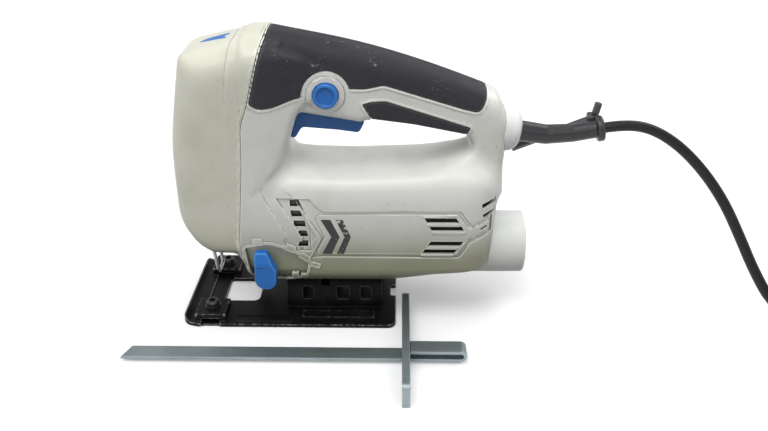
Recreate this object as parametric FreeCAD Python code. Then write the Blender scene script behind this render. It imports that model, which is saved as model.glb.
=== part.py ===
"""Hand-held jigsaw: moulded clamshell body, D-handle, tilting sole, drive train, rip guide and mains lead.

Frame: millimetres, +X towards the cord end, -Y the user's left side, +Z up. The origin is on the underside
of the sole, in the middle of the plate, so the saw stands on the plane z = 0.
"""
import FreeCAD, Part
import math
import os

V = FreeCAD.Vector
X, Y, Z = V(1, 0, 0), V(0, 1, 0), V(0, 0, 1)

# ---- driving dimensions -------------------------------------------------------------------------------
WALL = 3.0                      # housing wall
GRIP_SKIN = 1.5                 # soft overmould
BODY_HALF = 33.0                # half width of the motor housing and of the head
HANDLE_HALF = 17.5              # half width of the handle
CHORD_TURN = math.radians(32)   # longest turn of one chord on the inside of the shell

SOLE_SHEET, BRIDGE_HEIGHT, LIP_HEIGHT = 2.5, 5.0, 6.0
TILT_AXIS_Z = 6.0               # height of the bevel axis above the sole's underside
SADDLE_R, SADDLE_SHEET, SADDLE_GAP = 19.7, 2.3, 0.35
SADDLE_X = (-3.0, 59.0)
BEVEL_SCREW_X = 22.0
SLOT_HALF_ARC, SLOT_HALF_WIDTH = math.radians(56), 3.2      # arc slot of the saddle, for 45 degrees each way

BLADE_X = -35.0                 # blade line
STROKE = 18.0
PLUNGER_R = 4.0
MOTOR_Z = 62.0
GEAR_MODULE, PINION_TEETH, GEAR_TEETH = 1.1, 9, 46
GEAR_Z = MOTOR_Z + GEAR_MODULE * (PINION_TEETH + GEAR_TEETH) / 2
GEAR_X, GEAR_WIDTH = -15.5, 8.0
RUNNING_FIT = 0.05              # radial clearance of a shaft in its bearing

PORT_R, PORT_BORE_R, PORT_Z, PORT_END = 20.0, 17.7, 42.4, 149.5
PORT_BORE_LENGTH = 20.0

GUARD_X, GUARD_HALF, GUARD_WIRE_R = -51.0, 6.5, 1.2
BUTTON_X, BUTTON_Z, BUTTON_R = 27.8, 147.6, 7.4
SELECTOR_X, SELECTOR_Z, SELECTOR_R = -12.4, 35.6, 6.0
FORK_X, FORK_Z = -13.0, 50.0    # pivot of the orbit fork
ROLLER_X, ROLLER_Z, ROLLER_R = -22.0, 15.0, 6.0
TRIGGER_X, TRIGGER_Z = 53.0, 137.0

GUIDE_Y = -68.0                 # middle of the rip guide's arm, lying in front of the saw
ARM_WIDTH, ARM_SHEET = 10.5, 2.0
FENCE_X, FENCE_SHEET, FENCE_HEIGHT = 72.6, 3.8, 15.0

CORD_R, CORD_SIDES = 3.25, 12
ARC_SHARE = 0.45                # share of the shorter run that each arc of the lead takes up
COIL_CENTRE, COIL_MEAN_R = (352.0, -94.0), 38.0
COIL_STRANDS = 3                # strands side by side, and layers, in the coil
CORD_ROUTE = [(192.0, 0.0, 121.4), (204.0, 0.0, 123.53), (219.5, -1.2, 122.0), (236.5, -3.5, 112.6),
              (253.0, -7.5, 97.5), (268.0, -12.5, 78.5), (280.0, -17.5, 57.5), (290.5, -24.5, 37.0),
              (302.5, -33.5, 18.0), (321.5, -43.5, 6.2), (344.0, -49.5, 3.25)]
TAIL_ROUTE = [(354.0, -49.5, 16.25), (370.0, -49.5, 16.25), (388.0, -49.5, 8.0), (404.0, -49.5, 8.0)]
PLUG_LENGTH, PLUG_HALF, PLUG_THICK = 40.0, 17.5, 16.0
PIN_R, PIN_LENGTH, PIN_SPACING = 2.4, 19.0, 19.0

SLEEVE = [(128, 0, 121.9), (143, 0, 119.4), (158, 0, 117.2), (174, 0, 118.2), (192, 0, 121.4)]
SLEEVE_R = 6.0
HEX_TIP, HEX_CORNER, HEX_END = (139.5, 8.2, 104.5), (187.6, 8.2, 124.6), (189.4, 8.2, 134.0)
HEX_ACROSS = 4.0

SOLE_PLAN = [(-68, -36, 7), (-58, -39, 5), (68, -39, 5), (68, 39, 5), (-58, 39, 5), (-68, 36, 7)]
BLADE_OPENING = [(-46, -13, 2), (-17, -13, 4), (-17, 13, 4), (-46, 13, 2)]
CLAMP_X, CLAMP_Y = -50.5, 25.5
ARM_CLEAR = 0.6                 # clearance of the guide's arm in its slot

GEAR_R = GEAR_MODULE * GEAR_TEETH / 2
CRANK_R = STROKE / 2
BULKHEAD_X = (3.0, 11.0)
ADDENDUM, DEDENDUM = 0.85, 1.25
TIP_SHARE, ROOT_SHARE = 0.151, 0.31     # half widths of a tooth at tip and root, as shares of the pitch
STATOR_X, STATOR_R = (52.0, 90.0), 28.0
CORE_R, SHAFT_R = 17.5, 4.0
FRONT_BEARING_X, REAR_BEARING_X = (4.0, 11.0), (112.0, 118.0)
COMMUTATOR_X, FAN_X, FAN_R = (96.0, 107.0), (20.0, 31.0), 24.0


# ---- helpers ------------------------------------------------------------------------------------------
def save(name, shape):
    """Write one sub-part as a STEP file named after its node."""
    solids = shape.Solids
    part = solids[0] if len(solids) == 1 else Part.makeCompound(solids)
    part.exportStep(f"parts/{name}.step")


def rounded_wire(corners, place):
    """Closed outline through corners (a, b, radius): straight runs joined by tangent arcs."""
    count = len(corners)
    starts, middles, ends = [], [], []
    for i, (a, b, radius) in enumerate(corners):
        before, after = corners[i - 1], corners[(i + 1) % count]
        ua, ub = before[0] - a, before[1] - b
        va, vb = after[0] - a, after[1] - b
        lu, lv = math.hypot(ua, ub), math.hypot(va, vb)
        ua, ub, va, vb = ua / lu, ub / lu, va / lv, vb / lv
        half = 0.5 * math.acos(max(-1.0, min(1.0, ua * va + ub * vb)))
        if radius <= 0:
            starts.append((a, b))
            ends.append((a, b))
            middles.append(None)
            continue
        back = radius / math.tan(half)
        starts.append((a + ua * back, b + ub * back))
        ends.append((a + va * back, b + vb * back))
        da, db = ua + va, ub + vb
        norm = math.hypot(da, db)
        sag = radius / math.sin(half) - radius
        middles.append((a + da / norm * sag, b + db / norm * sag))
    edges = []
    for i in range(count):
        if middles[i]:
            edges.append(Part.Arc(place(*starts[i]), place(*middles[i]), place(*ends[i])).toShape())
        p, q = ends[i], starts[(i + 1) % count]
        if math.hypot(p[0] - q[0], p[1] - q[1]) > 1e-4:
            edges.append(Part.LineSegment(place(*p), place(*q)).toShape())
    return Part.Wire(Part.__sortEdges__(edges))


def inset_face(corners, place, inset):
    """Planar face inside an outline, moved inwards by inset with chords for arcs, or outwards if negative."""
    face = Part.Face(rounded_wire(corners, place))
    if not inset:
        return face
    face = face.makeOffset2D(-inset, join=0)
    return chorded_face(face) if inset > 0 else face


def chorded_face(face):
    """The same face with every arc as chords of at most CHORD_TURN, for surfaces inside the body."""
    points = []
    for edge in face.OuterWire.OrderedEdges:
        curved = edge.Curve.TypeId == "Part::GeomCircle"
        turn = edge.Length / edge.Curve.Radius if curved else 0.0
        stops = edge.discretize(1 + max(1, math.ceil(turn / CHORD_TURN)))
        if edge.Orientation == "Reversed":
            stops.reverse()
        points.extend(stops[:-1])
    return Part.Face(Part.makePolygon(points + points[:1]))


def side_prism(corners, y0, y1, inset=0.0):
    """Outline in X and Z, extruded across from y0 to y1."""
    return inset_face(corners, lambda a, b: V(a, y0, b), inset).extrude(V(0, y1 - y0, 0))


def plan_prism(corners, z0, z1, inset=0.0):
    """Outline in X and Y, extruded up from z0 to z1."""
    return inset_face(corners, lambda a, b: V(a, b, z0), inset).extrude(V(0, 0, z1 - z0))


def end_prism(corners, x0, x1, inset=0.0):
    """Outline in Y and Z, extruded along from x0 to x1."""
    return inset_face(corners, lambda a, b: V(x0, a, b), inset).extrude(V(x1 - x0, 0, 0))


def sloping_rail(half, radius, x, top, slope, inset=0.0):
    """Long bar with a round-edged back: the back passes through (x, top) and rises by slope along +X."""
    section = [(-half, -200, 0), (half, -200, 0), (half, 0, radius), (-half, 0, radius)]
    rail = end_prism(section, -150, 180, inset)
    rail.rotate(V(0, 0, 0), Y, -math.degrees(math.atan(slope)))
    rail.translate(V(x, 0, top))
    return rail


def block(x0, x1, y0, y1, z0, z1):
    return Part.makeBox(x1 - x0, y1 - y0, z1 - z0, V(x0, y0, z0))


def rod(radius, start, end):
    axis = V(*end) - V(*start)
    return Part.makeCylinder(radius, axis.Length, V(*start), axis)


def ring(outer, inner, start, end):
    return rod(outer, start, end).cut(rod(inner, start, end))


def cord_section(start, direction):
    """Section of the lead across its start: a regular polygon with the area of the round sheath."""
    step = 2 * math.pi / CORD_SIDES
    reach = CORD_R * math.sqrt(step / math.sin(step))
    across = direction.cross(Y).normalize()
    beside = direction.cross(across).normalize()
    corners = [start + across * (reach * math.cos(k * step)) + beside * (reach * math.sin(k * step))
               for k in range(CORD_SIDES + 1)]
    return Part.makePolygon(corners)


def bent_cord(points):
    """Lead along straight runs joined by tangent arcs as large as the runs allow."""
    vectors = [V(*p) for p in points]
    edges, last, smallest = [], vectors[0], 1e9
    for a, b, c in zip(vectors, vectors[1:], vectors[2:]):
        u, v = a - b, c - b
        reach = ARC_SHARE * min(u.Length, v.Length)
        u.normalize()
        v.normalize()
        half_turn = 0.5 * (math.pi - u.getAngle(v))
        arc_r = reach / math.tan(half_turn)
        smallest = min(smallest, arc_r)
        out = u + v
        out.normalize()
        first, second = b + u * reach, b + v * reach
        middle = b + out * (arc_r / math.cos(half_turn) - arc_r)
        edges.append(Part.LineSegment(last, first).toShape())
        edges.append(Part.Arc(first, middle, second).toShape())
        last = second
    edges.append(Part.LineSegment(last, vectors[-1]).toShape())
    path = Part.Wire(edges)
    section = cord_section(vectors[0], (vectors[1] - vectors[0]).normalize())
    return path.makePipeShell([section], True, False), path.Length, smallest


def mitred_bar(points, radius):
    """Round bar along straight runs that meet at mitres."""
    path = Part.makePolygon([V(*p) for p in points])
    section = Part.Wire([Part.Circle(V(*points[0]), V(*points[1]) - V(*points[0]), radius).toShape()])
    return path.makePipeShell([section], True, False, 1)


# ---- housing forms ------------------------------------------------------------------------------------
HEAD_SIDE = [(-24, 45, 0), (-44, 45.8, 16), (-68.3, 69, 20), (-64.9, 122, 120), (-53.7, 174.6, 9),
             (-36, 178.4, 30), (-13, 182.8, 40), (8, 179.2, 0), (8, 45, 0)]
NOSE_PLAN = [(-66.3, -33, 27), (60, -33, 0), (60, 33, 0), (-66.3, 33, 27)]
NOSE_Z, NOSE_LEAN = 122.0, 0.21     # above this height the rounded front leans back, per millimetre
BROW = (-33, 176.0, 0.25)           # x, top z and slope of the head's front top
HEAD_PLAN = [(-69.4, -33, 27), (-10, -33, 22), (6, -17.2, 6), (6, 17.2, 6), (-10, 33, 22), (-69.4, 33, 27)]
HEAD_SECTION = [(-33, 44.6, 15), (33, 44.6, 15), (33, 175.6, 18.5), (0, 184.5, 60), (-33, 175.6, 18.5)]

BARREL_SIDE = [(-29, 45, 6), (-19, 23, 14), (62, 23, 60), (92, 32.5, 30), (127, 37, 8), (132.8, 104, 24),
               (100, 108, 20), (80, 104.6, 60), (40, 102.5, 80), (-29, 105, 0)]
BARREL_PLAN = [(-29, -33, 0), (133.4, -33, 29), (133.4, 33, 29), (-29, 33, 0)]
BARREL_SECTION = [(-20, 23, 4), (20, 23, 4), (33, 36, 9), (33, 112, 30), (-33, 112, 30), (-33, 36, 9)]

HANDLE_SIDE = [(-8, 205, 0), (110, 205, 0), (124.5, 148.8, 17), (136.5, 128, 14), (132.6, 84, 0),
               (96, 84, 0), (97, 103.5, 10), (112.5, 114.5, 4.5), (107, 119.6, 3.5), (78, 124.6, 150),
               (54, 128.4, 6), (47, 127.4, 2), (8, 133.6, 1.5), (4, 133, 1.5), (5.5, 107, 12), (20, 102, 0),
               (20, 84, 0), (-8, 84, 0)]
HANDLE_BACK = [(13, 180.2, -0.165), (50, 172.9, -0.25), (95, 157.4, -0.39)]   # x, top z, slope
HANDLE_PLAN = [(-8, -17.5, 0), (138, -17.5, 13), (138, 17.5, 13), (-8, 17.5, 0)]
FLARE_PLAN = [(-18, -32.0, 0), (-4, -29.0, 14), (19, -17.3, 30), (34, -17.0, 0), (34, 17.0, 0),
              (19, 17.3, 30), (-4, 29.0, 14), (-18, 32.0, 0)]
FLARE_SIDE = [(-18, 180.0, 0), (-6, 179.0, 12), (34, 160.0, 0), (34, 148, 0), (14, 141, 20), (2, 104, 20),
              (-18, 90, 0)]


def head_form(inset=0.0):
    """The tall front of the body, rounded in all three views, with a front that leans back."""
    side = side_prism(HEAD_SIDE, -40, 40, inset)
    plan = plan_prism(HEAD_PLAN, 20, 210, inset)
    section = end_prism(HEAD_SECTION, -90, 30, inset)
    nose = inset_face(NOSE_PLAN, lambda a, b: V(a - NOSE_Z * NOSE_LEAN, b, 0), inset)
    nose = nose.extrude(V(210 * NOSE_LEAN, 0, 210))
    brow = sloping_rail(BODY_HALF, 20, *BROW, inset)
    return side.common(plan).common(section).common(nose).common(brow)


def barrel_form(inset=0.0):
    """The motor housing, with its underside chamfered so that the sole can tilt below it."""
    side = side_prism(BARREL_SIDE, -40, 40, inset)
    plan = plan_prism(BARREL_PLAN, 10, 130, inset)
    section = end_prism(BARREL_SECTION, -60, 160, inset)
    return side.common(plan).common(section)


def handle_form(inset=0.0):
    """The D-handle: the bar under its round-edged sloping back, the rear column and the web in front."""
    bar = side_prism(HANDLE_SIDE, -40, 40, inset).common(plan_prism(HANDLE_PLAN, 20, 210, inset))
    for x, top, slope in HANDLE_BACK:
        bar = bar.common(sloping_rail(HANDLE_HALF, 14, x, top, slope, inset))
    return bar


def flare_form(inset=0.0):
    """The shoulders that widen the handle into the head."""
    side = side_prism(FLARE_SIDE, -40, 40, inset)
    plan = plan_prism(FLARE_PLAN, 20, 210, inset)
    crown = sloping_rail(BODY_HALF, 20, -20, 181.8, -0.153, inset)
    return side.common(plan).common(crown)


def housing_form(inset=0.0):
    return head_form(inset).fuse([barrel_form(inset), handle_form(inset), flare_form(inset)])


# ---- housing details ----------------------------------------------------------------------------------
SEAM = [(-3.5, 200, 0), (-3.5, 188, 0), (-15.0, 146, 8), (-19.5, 134, 30), (-21.5, 108, 40), (-27, 60, 0),
        (-27, 30, 0), (-90, 30, 0), (-90, 200, 0)]
RIM_STEP = [(-22, 200, 0), (-23, 184, 0), (-29, 152, 0), (0, 152, 0), (0, 200, 0)]
GRIP_ZONE = [(-1.2, 200, 0), (-2.5, 188, 0), (-13.8, 147, 2.5), (-9.0, 143.6, 8), (-1, 143.6, 20),
             (9, 146.4, 10), (15.0, 147.6, 4), (20, 161.5, 8), (36, 161.5, 8), (41.5, 150, 4),
             (50, 150.3, 14), (61, 152.6, 8), (107, 138.2, 20), (116, 136.2, 4), (119.7, 143, 14),
             (121.5, 160, 0), (121.5, 200, 0)]
LOWER_ZONE = [(48.2, 141.5, 1), (54, 143.2, 4), (62, 143.6, 6), (110.5, 128.4, 1), (107.5, 122, 2),
              (106, 116, 0), (53, 116, 0), (53, 133, 3)]
PANEL_ZONE = [(8, 88, 0), (16.5, 88, 4), (24, 80, 6), (106, 81.5, 4), (112, 74, 4), (123, 76, 0),
              (123, 66.5, 0), (112, 61, 4), (105, 50, 4), (24, 48.6, 6), (16, 48, 0), (23, 62, 3)]
VENT_ROWS = [(8.0, 85.0, 5.0), (8.6, 77.5, 8.5), (10.4, 70.5, 7.5), (12.0, 64.0, 5.5), (11.2, 57.4, 7.5)]
LOUVRE_ROWS = [(95, 74.2, 18), (97.5, 68.6, 18), (98, 57.8, 18), (95, 52.6, 18)]
VENT_HEIGHT, LOUVRE_HEIGHT, PANEL_DEPTH = 4.2, 2.6, 0.8
POCKET = [(-25.5, 55.5, 3), (-10, 58.5, 14), (3, 54.5, 20), (15.5, 46.5, 3), (13, 34, 4), (-4, 27, 0),
          (-22, 27, 0)]
POCKET_DEPTH = 2.4
SCREWS = [(-10, 126, 20), (60.5, 148, 13), (117.5, 119, 13), (120, 88, 20), (38, 96.5, 22)]     # x, z, seat
BOSS_R, SCREW_R, SCREW_HEAD_R, SCREW_HEAD = 4.2, 1.6, 3.0, 2.2


def vents():
    """Cooling slots, cut through both walls."""
    cuts = []
    for rows, height in ((VENT_ROWS, VENT_HEIGHT), (LOUVRE_ROWS, LOUVRE_HEIGHT)):
        for x, z, length in rows:
            cuts.append(block(x - length / 2, x + length / 2, -50, 50, z - height / 2, z + height / 2))
    walls = block(-60, 140, -24, 24, 0, 200)
    return cuts[0].fuse(cuts[1:]).cut(walls)


def panel_recess():
    """Shallow decorative panel along both sides."""
    zone = side_prism(PANEL_ZONE, -50, 50)
    return zone.cut(block(-60, 160, -BODY_HALF + PANEL_DEPTH, BODY_HALF - PANEL_DEPTH, 0, 200))


def openings_cut():
    """All that enters or leaves the body: blade, fork, saddle, port, trigger, button, selector, cord."""
    cuts = [
        block(-47, -25, -9, 9, 20, 60),         # blade
        block(-33, -4.5, -8, 8, 10, 60),        # orbit fork
        rod(SADDLE_R + SADDLE_GAP, (SADDLE_X[0] - 2, 0, TILT_AXIS_Z), (SADDLE_X[1] + 3, 0, TILT_AXIS_Z)),
        rod(GEAR_R + 1.7, (GEAR_X - 1, 0, GEAR_Z), (GEAR_X + GEAR_WIDTH + 1, 0, GEAR_Z)),
        block(0, 56, -13.6, 13.6, 15, 34.6),    # saddle seat
        rod(PORT_R + 0.02, (95, 0, PORT_Z), (170, 0, PORT_Z)),
        block(3.0, 51, -6.4, 6.4, 118, 142),    # trigger
        rod(BUTTON_R + 0.3, (BUTTON_X, -30, BUTTON_Z), (BUTTON_X, -5, BUTTON_Z)),
        rod(4.3, (SELECTOR_X, -40, SELECTOR_Z), (SELECTOR_X, -20, SELECTOR_Z)),
        rod(7.1, (125, 0, 121.6), (150, 0, 118.8)),
        side_prism(POCKET, -50, -BODY_HALF + POCKET_DEPTH),
    ]
    for y in (-GUARD_HALF, GUARD_HALF):
        cuts.append(rod(GUARD_WIRE_R + 0.05, (GUARD_X, y, 40), (GUARD_X, y, 60)))
    return cuts[0].fuse(cuts[1:])


def bosses(side):
    """Screw posts of one half and the holes in them: side is -1 for the left half and +1 for the right."""
    posts, holes = [], []
    for x, z, seat in SCREWS:
        posts.append(rod(BOSS_R, (x, 0, z), (x, side * 40, z)))
        if side > 0:
            holes.append(rod(SCREW_R + 0.2, (x, 0, z), (x, seat, z)))
            holes.append(rod(SCREW_HEAD_R + 0.2, (x, seat, z), (x, 40, z)))
        else:
            holes.append(rod(SCREW_R, (x, 0, z), (x, -seat + 5, z)))
    return posts[0].fuse(posts[1:]), holes[0].fuse(holes[1:])


def make_housing():
    """Two clamshell halves, the front cover with its raised rim, and the soft grips let into the halves."""
    outer, under_grip, inner = housing_form(), housing_form(GRIP_SKIN), housing_form(WALL)
    skin = outer.cut(under_grip)
    grip_zone, lower_zone = side_prism(GRIP_ZONE, -50, 50), side_prism(LOWER_ZONE, -50, 50)
    button_boss = rod(BUTTON_R + 6.2, (BUTTON_X, -40, BUTTON_Z), (BUTTON_X, 40, BUTTON_Z))
    grip = skin.common(grip_zone).cut(button_boss)
    lower = skin.common(lower_zone)
    shell = outer.cut(inner).cut(grip_zone.common(skin).cut(button_boss)).cut(lower)
    shell = shell.cut(panel_recess()).cut(vents()).cut(openings_cut())
    seam = side_prism(SEAM, -50, 50)
    rim_band = side_prism(RIM_STEP, -50, 50).common(seam)
    rim = head_form(-1.4).cut(head_form(0.0)).common(rim_band)
    cover = shell.common(seam).fuse(rim)
    rest = shell.cut(seam)
    left = rest.common(block(-100, 200, -60, 0, 0, 300))
    right = rest.common(block(-100, 200, 0, 60, 0, 300))
    halves = []
    for side, half in ((-1, left), (1, right)):
        posts, holes = bosses(side)
        halves.append(half.fuse(posts.common(under_grip)).cut(holes))
    save("left_housing", halves[0])
    save("right_housing", halves[1])
    save("front_cover", cover)
    save("grip_overmould", grip)
    save("lower_grip", lower)
    return outer


def make_housing_screws():
    """Pan-head screws that enter from the right-hand side, in deep seats."""
    screws = []
    for x, z, seat in SCREWS:
        shank = rod(SCREW_R, (x, 7 - seat, z), (x, seat, z))
        screws.append(shank.fuse(rod(SCREW_HEAD_R, (x, seat, z), (x, seat + SCREW_HEAD, z))))
    Part.makeCompound(screws).exportStep("parts/housing_screws.step")


def make_top_inlay(outer):
    """Coloured flash let into the top of the front cover."""
    flash = [(-43, -4.5, 1), (-27, -6.5, 1.5), (-33, 0, 0), (-27, 6.5, 1.5), (-43, 4.5, 1)]
    zone = plan_prism(flash, 150, 200)
    save("top_inlay", zone.common(head_form(-0.5)).cut(head_form(0.0)))


def make_dust_port():
    """Vacuum socket at the tail: a short tube, cut obliquely where it enters the body."""
    tube = rod(PORT_R, (98, 0, PORT_Z), (PORT_END, 0, PORT_Z))
    tube = tube.cut(rod(PORT_BORE_R, (PORT_END - PORT_BORE_LENGTH, 0, PORT_Z), (PORT_END + 1, 0, PORT_Z)))
    tube = tube.cut(rod(PORT_BORE_R - 1.2, (90, 0, PORT_Z), (PORT_END, 0, PORT_Z)))
    mouth = [(60, 0, 0), (99.5, 0, 0), (99.5, 22, 0), (128.5, 64, 0), (128.5, 90, 0), (60, 90, 0)]
    save("dust_port", tube.cut(side_prism(mouth, -40, 40)))


def make_cord_entry(outer):
    """Collar moulding on the cord's axis, at the top of the rear column."""
    axis_start, axis_end = V(130, 0, 121.6), V(141.8, 0, 119.6)
    direction = (axis_end - axis_start).normalize()
    collar = Part.makeCone(15.0, 12.6, 8.0, axis_start, direction)
    collar = collar.fuse(Part.makeCone(12.6, 10.2, 4.0, axis_start + direction * 8.0, direction))
    collar = collar.cut(Part.makeCylinder(7.1, 40, axis_start - direction * 5, direction)).cut(outer)
    save("cord_collar", collar)


def make_cord_guard():
    """Bend relief of the lead: a rubber sleeve with a foot held in the housing, and the clip for the key."""
    sleeve = mitred_bar(SLEEVE, SLEEVE_R)
    foot = rod(7.0, (124.5, 0, 122.4), (128.5, 0, 121.8))
    end = V(*SLEEVE[-1]) - V(*SLEEVE[-2])
    end.normalize()
    clip = Part.makeCylinder(8.0, 4.0, V(*SLEEVE[-1]) - end * 4.0, end)
    lug = block(183.2, 187.4, 2, 11.4, 119.5, 127.5)
    guard = sleeve.fuse([foot, clip, lug])
    save("cord_guard", guard.cut(hex_key()))


def hex_bar(start, end):
    """Straight hexagonal bar between two points."""
    a, b = V(*start), V(*end)
    corner_r = HEX_ACROSS / math.sqrt(3)
    side = (b - a).cross(Y).normalize()
    turns = [math.radians(60 * k) for k in range(7)]
    points = [a + side * (corner_r * math.cos(turn)) + Y * (corner_r * math.sin(turn)) for turn in turns]
    return Part.Face(Part.makePolygon(points)).extrude(b - a)


def hex_key():
    """Angled hexagon key for the blade and sole screws."""
    return hex_bar(HEX_TIP, HEX_CORNER).fuse(hex_bar(HEX_CORNER, HEX_END))


# ---- sole and bevel ----------------------------------------------------------------------------------
def mirrored(x0, x1, y0, y1, z0, z1):
    """A block on the right-hand side and its twin on the left."""
    return [block(x0, x1, y0, y1, z0, z1), block(x0, x1, -y1, -y0, z0, z1)]


def make_sole_plate():
    """Pressed steel sole: front lip, clamp bridges, ribs, blade opening, key hole and rear notch."""
    lip = plan_prism(SOLE_PLAN, 0, LIP_HEIGHT).common(block(-70, -60.5, -40, 40, 0, 10))
    lip = lip.cut(rod(9.0, (-59.0, -40, 10.5), (-59.0, 40, 10.5)))
    bridges = mirrored(CLAMP_X - 10, CLAMP_X + 10, 17, 36, SOLE_SHEET - 0.01, SOLE_SHEET + BRIDGE_HEIGHT)
    ribs = mirrored(8, 54, 24.5, 31.5, SOLE_SHEET - 0.01, SOLE_SHEET + 0.6)
    plate = plan_prism(SOLE_PLAN, 0, SOLE_SHEET).fuse([lip] + bridges + ribs)
    slot_half = ARM_WIDTH / 2 + ARM_CLEAR
    slot_z = (SOLE_SHEET - 1.0, SOLE_SHEET + ARM_SHEET - 0.2)
    notch = [(64.5, -6, 1), (72, -6, 0), (72, 6, 0), (64.5, 6, 1)]
    cuts = [
        plan_prism(BLADE_OPENING, -1, 20),
        block(CLAMP_X - slot_half, CLAMP_X + slot_half, -50, 50, *slot_z),
        rod(4.0, (BEVEL_SCREW_X, 0, -1), (BEVEL_SCREW_X, 0, 5)),
        plan_prism(notch, -1, 20),
    ]
    cuts += mirrored(30, 46, 26.6, 29.4, -1, 0.8)
    for y in (-CLAMP_Y, CLAMP_Y):
        cuts.append(rod(2.2, (CLAMP_X, y, SOLE_SHEET + 1), (CLAMP_X, y, 20)))
    save("sole_plate", plate.cut(cuts[0].fuse(cuts[1:])))


def make_guide_clamps():
    """Clamp screws over the two guide slots."""
    screws = []
    base = SOLE_SHEET + BRIDGE_HEIGHT
    for y in (-CLAMP_Y, CLAMP_Y):
        shank = rod(2.0, (CLAMP_X, y, SOLE_SHEET + ARM_SHEET + 0.3), (CLAMP_X, y, base))
        washer = rod(4.6, (CLAMP_X, y, base), (CLAMP_X, y, base + 0.9))
        head = rod(3.9, (CLAMP_X, y, base + 0.9), (CLAMP_X, y, base + 4.4))
        screws.append(shank.fuse([washer, head]))
    Part.makeCompound(screws).exportStep("parts/guide_clamp_screws.step")


def make_bevel_saddle():
    """Half-round saddle on the sole that turns under the body about the bevel axis, with its arc slot."""
    x0, x1 = SADDLE_X
    axis0, axis1 = (x0, 0, TILT_AXIS_Z), (x1, 0, TILT_AXIS_Z)
    shell = ring(SADDLE_R, SADDLE_R - SADDLE_SHEET, axis0, axis1)
    shell = shell.cut(block(x0 - 5, x1 + 5, -30, 30, -30, SOLE_SHEET))
    ribs = []
    for x in (x0, x1 - 2.0):
        web = rod(SADDLE_R - 0.5, (x, 0, TILT_AXIS_Z), (x + 2.0, 0, TILT_AXIS_Z))
        web = web.cut(rod(SADDLE_R - 6.5, (x - 1, 0, TILT_AXIS_Z), (x + 3, 0, TILT_AXIS_Z)))
        ribs.append(web.cut(block(x - 5, x + 5, -30, 30, -30, SOLE_SHEET)))
    saddle = shell.fuse(ribs)
    across, up = 40 * math.sin(SLOT_HALF_ARC), 40 * math.cos(SLOT_HALF_ARC)
    wedge = [(0, TILT_AXIS_Z, 0), (-across, TILT_AXIS_Z + up, 0), (across, TILT_AXIS_Z + up, 0)]
    slot = end_prism(wedge, BEVEL_SCREW_X - SLOT_HALF_WIDTH, BEVEL_SCREW_X + SLOT_HALF_WIDTH)
    windows = [block(a, b, -30, 30, 9.0, 16.5) for a, b in ((7.5, 14.5), (29.5, 37.5), (45, 52))]
    save("bevel_saddle", saddle.cut(slot.fuse(windows)))


def make_saddle_seat():
    """Light-alloy seat in the body's foot that the saddle bears on, tapped for the bevel screw."""
    seat = block(0.2, 55.8, -13.4, 13.4, 23, 34.5)
    seat = seat.cut(rod(SADDLE_R + SADDLE_GAP, (-5, 0, TILT_AXIS_Z), (65, 0, TILT_AXIS_Z)))
    save("saddle_seat", seat.cut(rod(2.4, (BEVEL_SCREW_X, 0, 20), (BEVEL_SCREW_X, 0, 40))))


def make_bevel_screw():
    """Screw up through the saddle's slot into the seat, with its curved washer."""
    washer_r = SADDLE_R - SADDLE_SHEET - 0.4
    washer = rod(washer_r, (BEVEL_SCREW_X - 6, 0, TILT_AXIS_Z), (BEVEL_SCREW_X + 6, 0, TILT_AXIS_Z))
    washer = washer.cut(rod(washer_r - 2.2, (0, 0, TILT_AXIS_Z), (60, 0, TILT_AXIS_Z)))
    washer = washer.common(block(0, 60, -6, 6, 15, 40))
    shank = rod(2.4, (BEVEL_SCREW_X, 0, 18), (BEVEL_SCREW_X, 0, 34.4))
    head = rod(4.4, (BEVEL_SCREW_X, 0, 15.2), (BEVEL_SCREW_X, 0, 20.6))
    save("bevel_screw", washer.fuse([shank, head]))


def make_blade_guard():
    """Wire finger guard in front of the blade line."""
    leg = [(GUARD_X, GUARD_HALF, 58), (GUARD_X, GUARD_HALF, 40), (GUARD_X + 2, GUARD_HALF, 19.5)]
    loop = [(x, -y, z) for x, y, z in leg] + leg[::-1]
    save("blade_guard_wire", mitred_bar(loop, GUARD_WIRE_R))


# ---- drive --------------------------------------------------------------------------------------------
def toothed_wheel(teeth, start_x, width, centre_z, first_angle):
    """Spur wheel with straight-flanked teeth, one of them first_angle degrees from +Z."""
    pitch_r = GEAR_MODULE * teeth / 2
    step = 2 * math.pi / teeth
    outline = []
    for k in range(teeth):
        middle = math.radians(first_angle) + k * step
        for offset, radius in ((-ROOT_SHARE, -DEDENDUM), (-TIP_SHARE, ADDENDUM),
                               (TIP_SHARE, ADDENDUM), (ROOT_SHARE, -DEDENDUM)):
            angle = middle + offset * step
            r = pitch_r + radius * GEAR_MODULE
            outline.append(V(start_x, -r * math.sin(angle), centre_z + r * math.cos(angle)))
    return Part.Face(Part.makePolygon(outline + outline[:1])).extrude(V(width, 0, 0))


def make_drive_gear():
    """Reduction gear with its axle and the crank pin; the pin stops short of the yoke's slot."""
    wheel = toothed_wheel(GEAR_TEETH, GEAR_X, GEAR_WIDTH, GEAR_Z, 0.0)
    boss = rod(4.5, (GEAR_X - 2.0, 0, GEAR_Z + CRANK_R), (GEAR_X + 1, 0, GEAR_Z + CRANK_R))
    axle = rod(4.0, (GEAR_X + GEAR_WIDTH - 1, 0, GEAR_Z), (BULKHEAD_X[1] + 1.5, 0, GEAR_Z))
    collar = rod(7.0, (GEAR_X + GEAR_WIDTH - 1, 0, GEAR_Z), (GEAR_X + GEAR_WIDTH + 2.5, 0, GEAR_Z))
    pin = rod(2.5, (GEAR_X - 9.0, 0, GEAR_Z + CRANK_R), (GEAR_X, 0, GEAR_Z + CRANK_R))
    save("drive_gear", wheel.fuse([boss, axle, collar]))
    save("crank_pin", pin.cut(boss).cut(wheel))


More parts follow.
